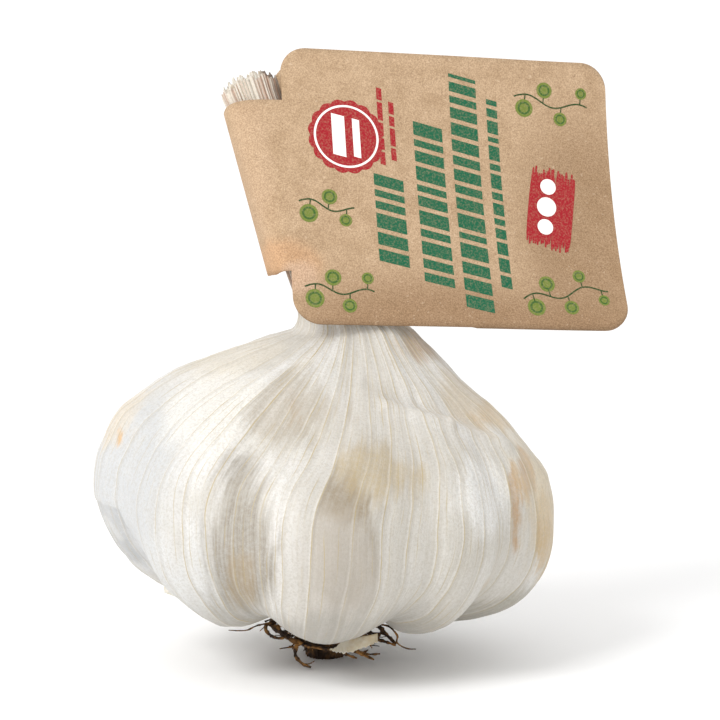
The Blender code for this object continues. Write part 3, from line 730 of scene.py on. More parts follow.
def skin_material():
    n = Nodes("garlic_skin")
    uv = n.add("ShaderNodeUVMap", uv_map="veins").outputs[0]
    across, up = n.part(uv, 0), n.part(uv, 1)
    gap, stem = n.attribute("vein_gap"), n.attribute("on_stem")
    bulb = n.math("SUBTRACT", 1.0, stem)

    def from_line(count):
        """How far right of the nearest line the surface is, in millimetres, with count lines to a vein."""
        whole = n.math("FRACT", n.math("MULTIPLY_ADD", across, count, 0.5))
        return n.times(n.math("SUBTRACT", whole, 0.5), gap)

    def along_veins(round_it, upward, seed, detail=3, roughness=0.5):
        """Noise that follows the veins: its fineness from vein to vein and along them."""
        place = (n.times(across, round_it), n.times(up, upward), seed)
        return n.noise(1.0, detail, roughness, n.result("ShaderNodeCombineXYZ", place))

    offset = from_line(1)
    distance = n.math("ABSOLUTE", offset)
    broken = n.ramp(along_veins(1.6, 1.6, 0.0), 0.3, 0.62, 0.3, 1.0)
    vein = n.times(n.ramp(distance, 0.18, 0.05), n.attribute("vein_strength"), broken, bulb)
    # Painted shade just right of each vein and a painted highlight just left of it, so that it reads as a
    # ridge lit from one side.
    shadow = n.times(n.ramp(offset, 0.1, 0.25), n.ramp(offset, 1.3, 0.3), bulb)
    vein_highlight = n.times(n.ramp(offset, -0.08, -0.2), n.ramp(offset, -0.7, -0.25), bulb)
    faint = n.ramp(along_veins(2.3, 0.8, 5.0), 0.46, 0.66)
    fine_vein = n.times(n.ramp(n.math("ABSOLUTE", from_line(FINE_VEINS)), 0.36, 0.12), faint, bulb)

    fibres = along_veins(11.0, 0.6, 0.0, 4)
    cloudy = n.noise(85, 4, 0.6)
    pores = n.noise(2000, 4, 0.8)
    panel = n.math("FLOOR", across)
    base = n.mix(n.ramp(cloudy, 0.35, 0.7), rgb(220, 218, 215), rgb(203, 200, 193))
    base = n.mix(n.ramp(n.chance(panel, 0.31), 0.15, 0.95, 0.0, 0.6), base, rgb(188, 183, 174))
    # Painted shade: each panel between two veins gets darker towards the vein on its right, as if it lay
    # stepped under the next skin.
    base = n.mix(n.ramp(n.math("FRACT", across), 0.1, 1.0, 0.0, 0.25), base, rgb(174, 168, 158))
    base = n.mix(n.ramp(fibres, 0.45, 0.75, 0.0, 0.35), base, rgb(182, 173, 157))
    stepped = n.math("MULTIPLY_ADD", n.chance(panel, 0.77), 0.7, -0.35)
    cloudy_part = n.math("MULTIPLY_ADD", cloudy, 1.3, -0.95)
    uneven = []
    for seed in range(STREAKS):
        streak = along_veins(3.1, 0.7, 9.0 + seed, 4, 0.65)
        uneven.append(n.math("ADD", n.math("MULTIPLY_ADD", streak, 1.6, stepped), cloudy_part))
    speckled = n.ramp(n.noise(1300, 5, 0.8), 0.36, 0.62, 0.75, 1.0)
    speckled = n.times(speckled, n.ramp(fibres, 0.36, 0.6, 0.82, 1.05))
    # the skins' tints, with painted shade low on the bulb, in a groove and on the right
    base = n.tint(base, SKIN_TINTS_AND_SHADE, uneven, speckled)

    wavy = n.math("MULTIPLY_ADD", n.noise(260, 3), TEAR_WAVE, -TEAR_WAVE / 2)
    x, y, z = (n.part(n.coordinates, axis) for axis in range(3))
    height = n.math("ADD", z, wavy)
    low, high = (h * MM for h in TEAR_HEIGHTS)
    torn = n.times(
        n.ramp(n.math("ADD", n.beyond(TEAR_TOP, TEAR_ACROSS), wavy), 0.0, 0.0003),
        n.ramp(height, high, high - 0.0006),
        n.ramp(height, low, low + 0.002),
        n.ramp(y, TEAR_BACK * MM, 0.0),
        n.ramp(x, *TEAR_FRONT_FADE),
    )
    inner = n.mix(n.ramp(n.noise(190, 3), 0.4, 0.65), INNER_SKIN, rgb(166, 168, 170))
    stem_stripes = n.ramp(along_veins(1.3, 0.12, 6.0), 0.42, 0.62)
    layers = (
        (n.times(torn, 0.8), inner),
        (stem, n.mix(stem_stripes, rgb(212, 203, 189), rgb(174, 142, 122))),
        # painted shade and painted highlight beside the veins
        (n.times(shadow, 0.2), rgb(146, 136, 120)),
        (n.times(vein_highlight, 0.2), rgb(226, 223, 217)),
        (n.times(fine_vein, 0.75), VEIN_COLOUR),
        (n.times(vein, 0.75), VEIN_COLOUR),
        (n.ramp(pores, 0.44, 0.62, 0.0, 0.32), rgb(160, 151, 136)),
    )
    for share, colour in layers:
        base = n.mix(share, base, colour)
    normal = n.bump(fibres, FIBRE_DEPTH, 0.5)
    normal = n.bump(n.noise(420, 3), CRUMPLE_DEPTH, 0.5, normal)
    normal = n.bump(pores, PORE_DEPTH, 0.7, normal)
    return n.finish(base, n.ramp(cloudy, 0.3, 0.7, 0.4, 0.58), 0.45, normal, (0.15, PAPER_GLOW, 0.0016))


# The nested sheaths in the stem's cut: how far each lies inside the stem's side, and how high it stands
CUT_SHEATHS = ((0.0, 0.9), (0.9, 0.4), (1.75, 1.1), (2.6, 0.2), (3.3, -0.6), (4.0, -0.3))
SHEATH_THICKNESS = 0.28
CUT_COLUMNS = 192
CUT_STEP = 4  # columns to one step of a sheath's torn rim
CUT_COARSE = -0.8, 0.6
CUT_FINE = 0.25
CUT_DEPTH = 5.0
CUT_INSET = 0.5
CUT_WAVE = 0.12
CUT_WAVES = 13
CORE_INSET = 0.6
CORE_DROP = 2.2
CORE_RISE = 0.8


def build_stem_cut(material):
    """The torn ends of the nested leaf sheaths that show in the stem's cut, and the dry core."""
    points, faces = [], []
    azimuths = np.arange(CUT_COLUMNS) * 360 / CUT_COLUMNS
    for index, (inset, rise) in enumerate(CUT_SHEATHS):
        draw = random.Random(SEED + 10 + index)
        coarse = np.array([draw.uniform(*CUT_COARSE) for _ in range(CUT_COLUMNS // CUT_STEP)])
        fine = np.array([draw.uniform(-CUT_FINE, CUT_FINE) for _ in range(CUT_COLUMNS)])
        rim = 1 + (rise + coarse.repeat(CUT_STEP) + fine) / STEM_LENGTH
        bottom = np.full(CUT_COLUMNS, 1 - CUT_DEPTH / STEM_LENGTH)
        wave = CUT_WAVE * np.sin(np.radians(azimuths) * (CUT_WAVES + 4 * index))
        outer = wave - CUT_INSET - inset
        inner = outer - SHEATH_THICKNESS
        faces += shifted(grid_faces(4, CUT_COLUMNS, closed=True), len(points))
        for side, along in ((outer, bottom), (outer, rim), (inner, rim), (inner, bottom)):
            points += stem_at(azimuths, along, side).tolist()
    start = len(points)
    points += stem_at(azimuths, 1 - CORE_DROP / STEM_LENGTH, np.full(CUT_COLUMNS, -CORE_INSET)).tolist()
    points.append(STEM_FOOT + STEM_AXIS * (STEM_LENGTH - CORE_DROP + CORE_RISE))
    core = [(i, (i + 1) % CUT_COLUMNS, CUT_COLUMNS) for i in range(CUT_COLUMNS)]
    mesh = mesh_of("stem_cut", points, faces + shifted(core, start))
    piece("stem_cut", mesh, material, "garlic_skin", "bulb")


def cut_material():
    n = Nodes("stem_cut")
    fibres = n.noise(2300, 4, 0.6, n.vector("MULTIPLY", n.coordinates, (1.0, 1.0, 0.2)))
    base = n.mix(n.ramp(fibres, 0.35, 0.65), rgb(216, 211, 200), rgb(172, 158, 138))
    base = n.tint(base, (((86, 60, 38), 0.85, (-11.0, 8.5, 117.2), (2.6, 5.0, 1.5), 0.6),), (fibres,))
    return n.finish(base, 0.7, 0.5, n.bump(fibres, 0.0002, 0.6), (0.15, PAPER_GLOW, 0.0006))


CARD_NORMAL = unit(np.cross(CARD_RIGHT, CARD_UP))


def card_to_world(across, up, out):
    """A point of the card's own frame: across its width, up its height, and out towards the viewer."""
    return CARD_CORNER + CARD_RIGHT * across + CARD_UP * up + CARD_NORMAL * out


def stem_in_card(up):
    """The stem's middle at this height of the card, as across and out."""
    start = STEM_FOOT - CARD_CORNER
    at = start + STEM_AXIS * (up - start @ CARD_UP) / (STEM_AXIS @ CARD_UP)
    return at @ CARD_RIGHT, at @ CARD_NORMAL


def front_out(across, up):
    """How far the front ply's middle lies from the card's plane: a slight bow, and faint waves."""
    share = up / CARD_HEIGHT
    reach = smooth(across / CARD_WIDTH)
    wave = 1 + math.sin(across / CARD_WAVE_ACROSS + 1.1) * math.sin(up / CARD_WAVE_UP + 0.7)
    return -CARD_THICKNESS / 2 - CARD_BOW * reach * 4 * share * (1 - share) - CARD_WAVE * reach * wave


def bridge_share(up):
    """0 at the bridge's bottom edge and 1 at its top edge."""
    return (up - BRIDGE_BOTTOM) / (BRIDGE_TOP - BRIDGE_BOTTOM)


def far_out(up):
    """How far back the card lies behind the stem."""
    return stem_in_card(up)[1] - STEM_HALF_DEPTH - STEM_CLEARANCE - CARD_THICKNESS / 2


def back_start(up):
    """Where the bridge's curve ends and the back panel starts."""
    return max(0.0, stem_in_card(BRIDGE_BOTTOM)[0] * (1 - bridge_share(up)))


def back_rise(up):
    """How much higher the back of the bridge sits than its front, between its two edges."""
    inside = BRIDGE_BOTTOM <= up <= BRIDGE_TOP
    return BRIDGE_BACK_RISE * (1 - bridge_share(up)) if inside else 0


def bridge_point(turn, up):
    """The bridge round the stem's left side: turn runs from 0 at the front panel to 180 at the back panel."""
    angle = math.radians(turn)
    up += back_rise(up) * smooth((turn - RISE_START) / RISE_LENGTH)
    power = 2 / BRIDGE_ROUNDNESS
    left = BRIDGE_LEFT_BOTTOM + (BRIDGE_LEFT_TOP - BRIDGE_LEFT_BOTTOM) * bridge_share(up)
    start = 0 if turn < 90 else back_start(up)
    across = start + (left - start) * max(0.0, math.sin(angle)) ** power
    front, far = front_out(0, up), far_out(up)
    bend = math.copysign(abs(math.cos(angle)) ** power, math.cos(angle))
    return card_to_world(across, up, (front + far) / 2 + (front - far) / 2 * bend)


def front_point(across, up):
    return card_to_world(across, up, front_out(across, up))


def back_point(across, up):
    """The back panel, which comes forward beyond the stem to lie against the front panel."""
    up += back_rise(up) * smooth(BACK_RISE_END - across / BACK_TAIL_START)
    start = back_start(up)
    if across < BACK_SHIFT_END:
        across = start + across * (BACK_SHIFT_END - start) / BACK_SHIFT_END
    beyond = across - stem_in_card(up)[0] - BACK_CURL_START
    closed = smooth(beyond / BACK_CURL_LENGTH)
    near = front_out(across, up) - CARD_THICKNESS - PLY_GAP
    return card_to_world(across, up, far_out(up) + (near - far_out(up)) * closed)


def corner_inset(across):
    """How much a round corner takes off the height of the card at this distance across."""
    from_edge = min(across, CARD_WIDTH - across)
    over = min(CARD_CORNER_RADIUS, max(0.0, CARD_CORNER_RADIUS - from_edge))
    return CARD_CORNER_RADIUS - math.sqrt(CARD_CORNER_RADIUS**2 - over**2)


def card_columns():
    """Distances across from the left to the right edge, closer together round the corners."""
    corner = [CARD_CORNER_RADIUS * (1 - math.cos(turn)) for turn in steps(CORNER_STEPS, 0, math.pi / 2)]
    right = [CARD_WIDTH - x for x in reversed(corner)]
    count = round((right[0] - corner[-1]) / CARD_STEP)
    return corner + steps(count + 1, corner[-1], right[0])[1:-1] + right


def card_band(form, columns, rows_of, point_at):
    """One band of the card: columns of points from its lower to its upper edge."""
    grid = [[form.verts.new(Vector(point_at(x, up) * MM)) for up in rows_of(x)] for x in columns]
    for left, right in zip(grid, grid[1:]):
        for i in range(len(left) - 1):
            form.faces.new((left[i], right[i], right[i + 1], left[i + 1]))


def build_card(material):
    """The die-cut card: a front and a back panel, joined by the bridge that goes round the stem."""
    columns = card_columns()
    tail_columns = [BACK_TAIL_START] + [x for x in columns if x > BACK_TAIL_START]
    middle_rows = steps(MIDDLE_STEPS, BRIDGE_BOTTOM, BRIDGE_TOP)
    form = bmesh.new()

    def lower_rows(across):
        return steps(EDGE_STEPS, corner_inset(across), BRIDGE_BOTTOM)

    def tail_rows(across):
        slant = max(0.0, 1 - (across - BACK_TAIL_START) / BACK_TAIL_SLANT)
        low = corner_inset(across) + (BRIDGE_BOTTOM - BACK_TAIL_EDGE) * slant
        return steps(EDGE_STEPS, low, BRIDGE_BOTTOM)

    def upper_rows(across):
        return steps(EDGE_STEPS, BRIDGE_TOP, CARD_HEIGHT - corner_inset(across))

    card_band(form, columns, lower_rows, front_point)
    card_band(form, columns, lambda x: middle_rows, front_point)
    card_band(form, columns, upper_rows, front_point)
    card_band(form, steps(BRIDGE_STEPS, 0, 180), lambda turn: middle_rows, bridge_point)
    card_band(form, tail_columns, tail_rows, back_point)
    card_band(form, columns, lambda x: middle_rows, back_point)
    card_band(form, columns, upper_rows, back_point)
    bmesh.ops.remove_doubles(form, verts=form.verts, dist=0.01 * MM)
    bmesh.ops.recalc_face_normals(form, faces=form.faces)
    mesh = bpy.data.meshes.new("card")
    form.to_mesh(mesh)
    form.free()
    thicken(piece("card", mesh, material, "kraft_card", "label"), CARD_THICKNESS)


# Tints of the card in places, and painted shade where marked: colour, how strong, middle, radii, raggedness
CARD_TINTS_AND_SHADE = (
    # painted shade where the bridge turns round the stem
    ((178, 150, 121), 0.6, card_to_world(-7.0, 30.0, -4.0), (6, 14, 24), 0.5),
    ((187, 145, 107), 0.65, card_to_world(-1.0, 12.5, -2.0), (8, 12, 6), 0.5),
    ((196, 166, 140), 0.65, card_to_world(1.5, 9.5, 0.0), (4, 6, 4), 0.5),
    # painted shade: the card darker towards its right edge
    ((138, 109, 79), 0.6, card_to_world(66.0, 20.0, 0.0), (20, 16, 44), 0.4),
    # painted shade: the card darker towards its bottom edge
    ((134, 103, 73), 0.65, card_to_world(36.0, -6.0, 0.0), (60, 16, 18), 0.4),
)


def kraft_material():
    n = Nodes("kraft_card")
    grain = n.noise(3600, 3, 0.7)
    specks = n.noise(1500, 1)
    mottle = n.noise(260, 3, 0.6)
    base = n.mix(n.ramp(mottle, 0.35, 0.7), rgb(182, 154, 123), rgb(170, 142, 111))
    # the card's tints, with painted shade on the bridge, the right and the bottom
    base = n.tint(base, CARD_TINTS_AND_SHADE, (mottle,))
    shade = n.mix(n.ramp(grain, 0.28, 0.72), (0.72, 0.69, 0.66, 1.0), (1.26, 1.3, 1.36, 1.0))
    base = n.mix(1.0, base, shade, "MULTIPLY")
    base = n.mix(n.ramp(specks, 0.66, 0.78, 0.0, 0.45), base, rgb(124, 96, 72))
    base = n.mix(n.ramp(specks, 0.33, 0.24, 0.0, 0.22), base, rgb(228, 206, 180))
    return n.finish(base, 0.82, 0.25, n.bump(grain, 0.00004, 0.6, n.bump(mottle, 0.0001, 0.4)))


# The card's print: plain bars, a scalloped seal, a brushed patch with spots, and wavy stalks with buds
INK_GREEN = rgb(12, 92, 62)
INK_RED = rgb(154, 22, 34)
INK_WHITE = rgb(246, 242, 238)
BUD_LIGHT = rgb(106, 122, 50)
BUD_DARK = rgb(58, 94, 38)
STALK = rgb(26, 64, 24)
PRINT_STEP = 1.5
INK_LIFT = 0.03  # the lowest ink lies this far above the card, and white ink over it this far
WHITE_LIFT = 0.05
SPOT_LIFT = 0.07
STROKE_LIFT = 0.0012  # each stroke of the brushed patch lies this much higher than the last
STALK_LIFT = 0.035
BUD_LIFT = 0.045
BUD_RING_LIFT = 0.06
# Rows of slanted blocks: ink, place across, half width, start, end, the blocks' lengths, and gap
BLOCK_SLANT = 0.22
BLOCK_ROWS = (
    (INK_GREEN, 21.1, 3.1, 12.8, 31.4, (1.3, 3.2), 0.95),
    (INK_GREEN, 30.2, 3.1, 8.8, 44.0, (1.3, 3.2), 0.95),
    (INK_GREEN, 38.2, 2.9, 3.6, 54.0, (1.3, 3.2), 0.95),
    (INK_GREEN, 44.4, 1.15, 8.6, 49.4, (1.0, 3.2), 0.8),
    (INK_RED, 20.2, 0.55, 34.0, 50.6, (1.6, 4.4), 0.5),
    (INK_RED, 22.6, 0.55, 35.0, 48.0, (1.6, 4.4), 0.5),
)
SEAL = (12.8, 39.6)
SEAL_RADIUS = 7.5
SEAL_SCALLOP = 0.5
SEAL_SCALLOPS = 16
SEAL_RING = (6.3, 6.75)
SEAL_BLOCKS = ((11.2, 1.35, 35.4, 44.2), (14.9, 0.75, 35.2, 43.4))
STROKES = 22
STROKES_FROM = 50.0
STROKES_WIDTH = 9.0
STROKE_ENDS = 19.5, 35.5
STROKE_FALL = 2.0  # the last stroke lies this much lower than the first
STROKE_RAGGED = 1.0
STROKE_SLANT = 0.18
STROKE_HALF_WIDTH = 0.34
SPOTS_MIDDLE = (55.0, 27.0)
SPOTS_SLANT = 0.16
SPOTS = ((22.6, 1.7), (27.0, 2.1), (31.4, 1.7))
STALK_HALF_WIDTH = 0.16
BUD_RADIUS = 1.9
BUD_SHRINKS = 0.9
BUD_GAP = 1.1
BUD_RING = 0.5, 0.72
# Sprigs: start, end, waves, swing and number of buds
SPRIGS = (
    ((2.4, 7.6), (16.4, 6.4), 1.4, 0.8, 4),
    ((2.2, 25.4), (13.4, 23.6), 1.2, 0.8, 3),
    ((47.6, 6.4), (66.0, 9.4), 1.7, 0.9, 5),
    ((49.4, 50.6), (65.4, 48.4), 1.4, 0.9, 4),
)


class Print:
    """Thin flat shapes just above the card's front, each with its ink's colour."""

    def __init__(self):
        self.points, self.faces, self.colours = [], [], []

    def grid(self, rows, colour, lift):
        """A shape from rows of points, each given as across and up the card."""
        self.faces += shifted(grid_faces(len(rows), len(rows[0])), len(self.points))
        for across, up in (place for row in rows for place in row):
            out = front_out(across, up) + CARD_THICKNESS / 2 + lift
            self.points.append(card_to_world(across, up, out).tolist())
            self.colours.append(colour)

    def block(self, across, half, low, high, colour, lift):
        """A slanted block from low to high up the card."""
        count = max(2, math.ceil((high - low) / PRINT_STEP) + 1)
        columns = steps(3, across - half, across + half)
        rows = [[(x, up + BLOCK_SLANT * (across - x)) for x in columns] for up in steps(count, low, high)]
        self.grid(rows, colour, lift)

    def blocks(self, draw, colour, across, half, low, high, lengths, gap):
        """A row of blocks of uneven length from low to high."""
        while low < high - lengths[0] / 2:
            end = min(high, low + draw.uniform(*lengths))
            self.block(across, half, low, end, colour, INK_LIFT)
            low = end + gap

    def ribbon(self, route, half_widths, colour, lift):
        places = np.array(route)
        along = unit(np.gradient(places, axis=0))
        side = np.stack([-along[:, 1], along[:, 0]], axis=1) * column(half_widths)
        self.grid([[p - s, p, p + s] for p, s in zip(places, side)], colour, lift)

    def rounds(self, centre, turns, radii_at, colour, lift):
        """A shape round the centre, which gives the radii of its points at each turn."""
        rows = []
        for turn in steps(turns, 0, 2 * math.pi):
            spoke = np.array((math.cos(turn), math.sin(turn)))
            rows.append([centre + spoke * radius for radius in radii_at(turn)])
        self.grid(rows, colour, lift)

    def disc(self, centre, radius, colour, lift, scallop=0.0):
        def radii_at(turn):
            reach = radius + scallop * abs(math.sin(SEAL_SCALLOPS / 2 * turn))
            return [reach * share for share in steps(6, 0.001)]

        self.rounds(centre, 145, radii_at, colour, lift)

    def ring(self, centre, radii, colour, lift):
        self.rounds(centre, 97, lambda turn: radii, colour, lift)

    def sprig(self, start, end, waves, swing, buds):
        """A wavy stalk from start to end, with round buds on alternate sides that get smaller along it."""
        start, way = np.array(start), np.subtract(end, start)
        side = unit(np.array((-way[1], way[0])))

        def at(t):
            return start + way * t + side * swing * math.sin(2 * math.pi * waves * t)

        self.ribbon([at(t) for t in steps(60)], STALK_HALF_WIDTH, STALK, STALK_LIFT)
        for k in range(buds):
            radius = BUD_RADIUS - BUD_SHRINKS * k / buds
            root = at((k + 0.6) / buds)
            centre = root + side * (radius + BUD_GAP) * (1 if k % 2 else -1)
            self.ribbon([root, centre], 0.75 * STALK_HALF_WIDTH, STALK, STALK_LIFT + 0.001)
            self.disc(centre, radius, BUD_LIGHT, BUD_LIFT)
            self.ring(centre, [share * radius for share in BUD_RING], BUD_DARK, BUD_RING_LIFT)


def build_print(material):
    """The print: rows of blocks for lines of text, a seal, a brushed patch and four sprigs."""
    draw = random.Random(SEED + 20)
    ink = Print()
    for row in BLOCK_ROWS:
        ink.blocks(draw, *row)
    ink.disc(SEAL, SEAL_RADIUS, INK_RED, INK_LIFT, SEAL_SCALLOP)
    ink.ring(SEAL, SEAL_RING, INK_WHITE, WHITE_LIFT)
    for block in SEAL_BLOCKS:
        ink.block(*block, INK_WHITE, WHITE_LIFT)

    widths = [STROKE_HALF_WIDTH * math.sin(math.pi * t) ** 0.3 + 0.04 for t in steps(12, 0.01, 0.99)]
    for stroke in range(STROKES):
        share = stroke / (STROKES - 1)
        across = STROKES_FROM + STROKES_WIDTH * share
        low, high = (
            up - STROKE_FALL * share + draw.uniform(-STROKE_RAGGED, STROKE_RAGGED) for up in STROKE_ENDS
        )
        route = [(across + STROKE_SLANT * (up - low), up) for up in steps(12, low, high)]
        ink.ribbon(route, widths, INK_RED, INK_LIFT + STROKE_LIFT * stroke)
    for up, radius in SPOTS:
        across = SPOTS_MIDDLE[0] + SPOTS_SLANT * (up - SPOTS_MIDDLE[1])
        ink.disc((across, up), radius, INK_WHITE, SPOT_LIFT)
    for sprig in SPRIGS:
        ink.sprig(*sprig)

    mesh = mesh_of("card_print", ink.points, ink.faces)
    layer = mesh.color_attributes.new("ink", "FLOAT_COLOR", "POINT")
    layer.data.foreach_set("color", np.array(ink.colours, np.float32).ravel())
    piece("card_print", mesh, material, "kraft_card")


def ink_material():
    n = Nodes("card_ink")
    worn = n.ramp(n.noise(2600, 2, 0.6), 0.4, 0.75, 0.0, 0.3)
    return n.finish(n.mix(worn, n.attribute("ink", "Color"), rgb(176, 150, 120)), 0.7, 0.25)


# Routes of the roots that show below the bulb, with the half width at their start
LONG_ROOTS = (
    (0.34, ((-6, -4, 8.2), (-11.1, -8, 8.3), (-13.4, -10, 8.2), (-15.5, -12, 7.7), (-18.8, -12.6, 7.9))),
    (0.5, ((-6, -5, 8), (-11, -8, 8.2), (-11.6, -10, 7.4), (-10.4, -11, 6.4), (-8.6, -12, 6.1),
           (-7.3, -11, 6.5))),
    (0.85, ((-5, -4, 8.4), (-10.4, -7, 8.3), (-9.1, -9, 7.1), (-7.1, -10, 5.7), (-5.5, -10.5, 5))),
    (0.7, ((-5, -4, 7.6), (-9.4, -8, 7.7), (-8.3, -10, 6.8), (-6.7, -11, 6.3))),
    (0.55, ((-3, -5, 6), (-4.8, -9, 5.2), (-5.5, -11, 4.4), (-5.7, -12, 2.7), (-4.3, -13, 1.3),
            (-2.6, -13.6, 0.7))),
    (0.26, ((-4.1, -12.8, 1.2), (-2.9, -13.4, 1.4), (-1.9, -14, 2.1))),
    (0.8, ((-4, -5, 6), (-5.4, -9, 5), (-2.7, -12, 4.5), (0.9, -13.5, 4.4))),
    (0.7, ((-2, -6, 6), (-3.4, -10, 5.2), (-1.1, -12.5, 4.4), (1.6, -13.5, 4))),
    (0.3, ((-3.6, -9, 5.4), (-4.9, -10.6, 4.9), (-6.2, -11.4, 5))),
    (0.75, ((0, -7, 5.6), (1.6, -11, 4.4), (4.2, -13.4, 3.3), (6.3, -15, 2.9))),
    (0.8, ((2, -7, 5.6), (4.1, -11, 4.2), (7.3, -14.6, 3.6), (9.6, -16.6, 3))),
    (0.6, ((3.4, -7, 5.6), (5.7, -12, 4), (8.3, -15, 3.7), (10.8, -17, 4.2))),
    (0.5, ((4, -8, 5), (6, -12.6, 4.2), (7.4, -14.4, 3.9), (8.5, -16, 4.7))),
    (0.9, ((6, -4, 8), (10.5, -7.4, 7.6), (12, -9, 6.4), (14.1, -10.4, 4.7))),
    (0.42, ((7, -5, 8), (12.3, -8, 7.8), (13.5, -9, 7.2), (14.4, -9.6, 6), (14.3, -10.4, 4.9),
            (16, -10.8, 3.9), (18, -11.2, 3.8))),
    (0.7, ((5, -6, 6), (10.3, -9, 5.3), (12.6, -10.4, 4.9), (14, -11, 4.5))),
    (0.6, ((6, -6, 6), (9.4, -9, 5.2), (10.8, -9.6, 6.3), (11.4, -8.8, 7.3))),
)
LONG_POINTS = 26
LONG_TAPER = 0.55
LONG_KNOTS = 0.18
LONG_SQUASH = 0.62
FINE_ROOTS = 120
FOOT_ROOTS = 46
ROOT_SIDES = 7
SHORT_POINTS = 15
ROOT_TWIST = 0.12
ROOT_ROUGHNESS = 0.16
PAD_RADII = (4.6, 5.6, 8.4, 9.0, 8.1)
PAD_ROWS = 12
PAD_COLUMNS = 96
PAD_TOP = PLATE_HEIGHT - 0.35
PAD_SHARE = 0.9
PAD_INSET = 0.3
PAD_ROUGHNESS = 0.9, 1.03


def on_curve(points, t):
    """A point of the smooth curve through these points, t from 0 to 1."""
    places = np.array(points, float)
    place = t * (len(points) - 1)
    index = min(int(place), len(points) - 2)
    u = place - index
    a, d = places[max(index - 1, 0)], places[min(index + 2, len(points) - 1)]
    b, c = places[index], places[index + 1]
    return (b * 2 + (c - a) * u + (a * 2 - b * 5 + c * 4 - d) * u * u + (b * 3 - a - c * 3 + d) * u**3) / 2


def capped_faces(rows, columns):
    """Faces of a stack of rings, closed at each end by a fan round one more point."""
    faces = grid_faces(rows, columns, closed=True)
    end = rows * columns
    for i in range(columns):
        j = (i + 1) % columns
        faces += [(j, i, end), (end - columns + i, end - columns + j, end + 1)]
    return faces


def tube(points, radii, squash, draw):
    """Rings of points round a route, oval and slowly twisting, and the middles of its two ends."""
    centres = np.array(points)
    directions = unit(np.gradient(centres, axis=0))
    side = np.cross(directions[0], (0.31, 0.2, 0.93))  # no root starts along this direction
    rings = []
    twist = draw.uniform(0, 6)
    for centre, direction, radius in zip(centres, directions, radii):
        side = unit(side - direction * (side @ direction))
        other = np.cross(direction, side) * squash
        twist += ROOT_TWIST
        for i in range(ROOT_SIDES):
            turn = twist + 2 * math.pi * i / ROOT_SIDES
            reach = radius * (1 + draw.uniform(-ROOT_ROUGHNESS, ROOT_ROUGHNESS))
            rings.append(centre + (side * math.cos(turn) + other * math.sin(turn)) * reach)
    return rings + [centres[0], centres[-1]]


def root_pad(draw):
    """The uneven pad that the roots grow from, in rings with the middles of its two ends."""
    rings = []
    for height in steps(PAD_ROWS, 0.0, PAD_TOP):
        radius = float(np.interp(height, steps(5, 0, PLATE_HEIGHT), PAD_RADII)) * PAD_SHARE - PAD_INSET
        for i in range(PAD_COLUMNS):
            out = outward(360 / PAD_COLUMNS * i) * radius * draw.uniform(*PAD_ROUGHNESS)
            rings.append(out + UP * height)
    return rings + [UP * 0.0, UP * PAD_TOP]


def underside_height(place):
    """The height of the bulb's underside over this place."""
    azimuth = np.array([math.degrees(math.atan2(place[0], -place[1]))])
    foot_radius = cloves_at(azimuth).reach[0] * FOOT_SHARE
    share = (math.hypot(place[0], place[1]) - PLATE_RADIUS) / (foot_radius - PLATE_RADIUS)
    return bulb_at(azimuth, "underside", min(1.0, max(0.0, share)))[0][2]


def fine_root(draw, azimuth):
    """The route of one dry root: out of the pad, winding down and outwards."""
    length = draw.uniform(4.0, 9.5)
    place = outward(azimuth) * draw.uniform(3.0, 6.5) + UP * draw.uniform(4.5, 9.0)
    heading, slope = azimuth, draw.uniform(-0.45, 0.15)
    route = [place]
    for _ in range(6):
        heading += draw.uniform(-30, 30)
        slope += draw.uniform(-0.3, 0.25)
        place = place + unit(outward(heading) + UP * slope) * length / 6
        place[2] = min(max(place[2], 3.0), underside_height(place) - 1.0)
        route.append(place)
    return route


def foot_root(draw, azimuth):
    """The route of one trimmed root in the foot that the bulb stands on."""
    reach, spread = draw.uniform(2.6, 4.1), draw.uniform(0.7, 2.2)
    top = outward(azimuth) * (reach + spread) + UP * draw.uniform(4.4, 6.0)
    low = outward(azimuth + draw.uniform(-14, 14)) * reach + UP * draw.uniform(0.25, 1.6)
    middle = (top + low) / 2 + outward(azimuth) * draw.uniform(-0.5, 0.2)
    return [top, middle, low]


# Kinds of short root: how many, the route, half widths, taper, flatness, and how tan they are at most
SHORT_ROOTS = (
    (FINE_ROOTS, fine_root, (0.16, 0.46), 0.65, 0.7, 0.75),
    (FOOT_ROOTS, foot_root, (0.3, 0.62), 0.4, 0.75, 0.8),
)


def build_roots(material):
    """The tuft of dry roots round the cut-back root plate."""
    draw = random.Random(SEED + 30)
    points, faces, tans = [], [], []

    def add(rings, columns, tan):
        faces.extend(shifted(capped_faces((len(rings) - 2) // columns, columns), len(points)))
        points.extend(rings)
        tans.extend([tan] * len(rings))

    def grow(route, count, squash, radius_at):
        path = [on_curve(route, t) for t in steps(count)]
        return tube(path, [radius_at(t) for t in steps(count)], squash, draw)

    add(root_pad(draw), PAD_COLUMNS, 0.15)
    for width, route in LONG_ROOTS:
        rings = grow(
            route, LONG_POINTS, LONG_SQUASH,
            lambda t: width * (1 - LONG_TAPER * t) * (1 + LONG_KNOTS * math.sin(31 * t)),
        )
        add(rings, ROOT_SIDES, 0.45 + draw.uniform(-0.3, 0.3))
    for count, route_at, widths, taper, squash, tan in SHORT_ROOTS:
        for i in range(count):
            route = route_at(draw, 360 * (i + draw.uniform(-0.5, 0.5)) / count)
            width = draw.uniform(*widths)
            rings = grow(route, SHORT_POINTS, squash, lambda t: width * (1 - taper * t))
            add(rings, ROOT_SIDES, draw.uniform(0.0, tan))
    mesh = mesh_of("root_tuft", points, faces)
    add_values(mesh, "tan", tans)
    piece("root_tuft", mesh, material, "dry_root", "roots")


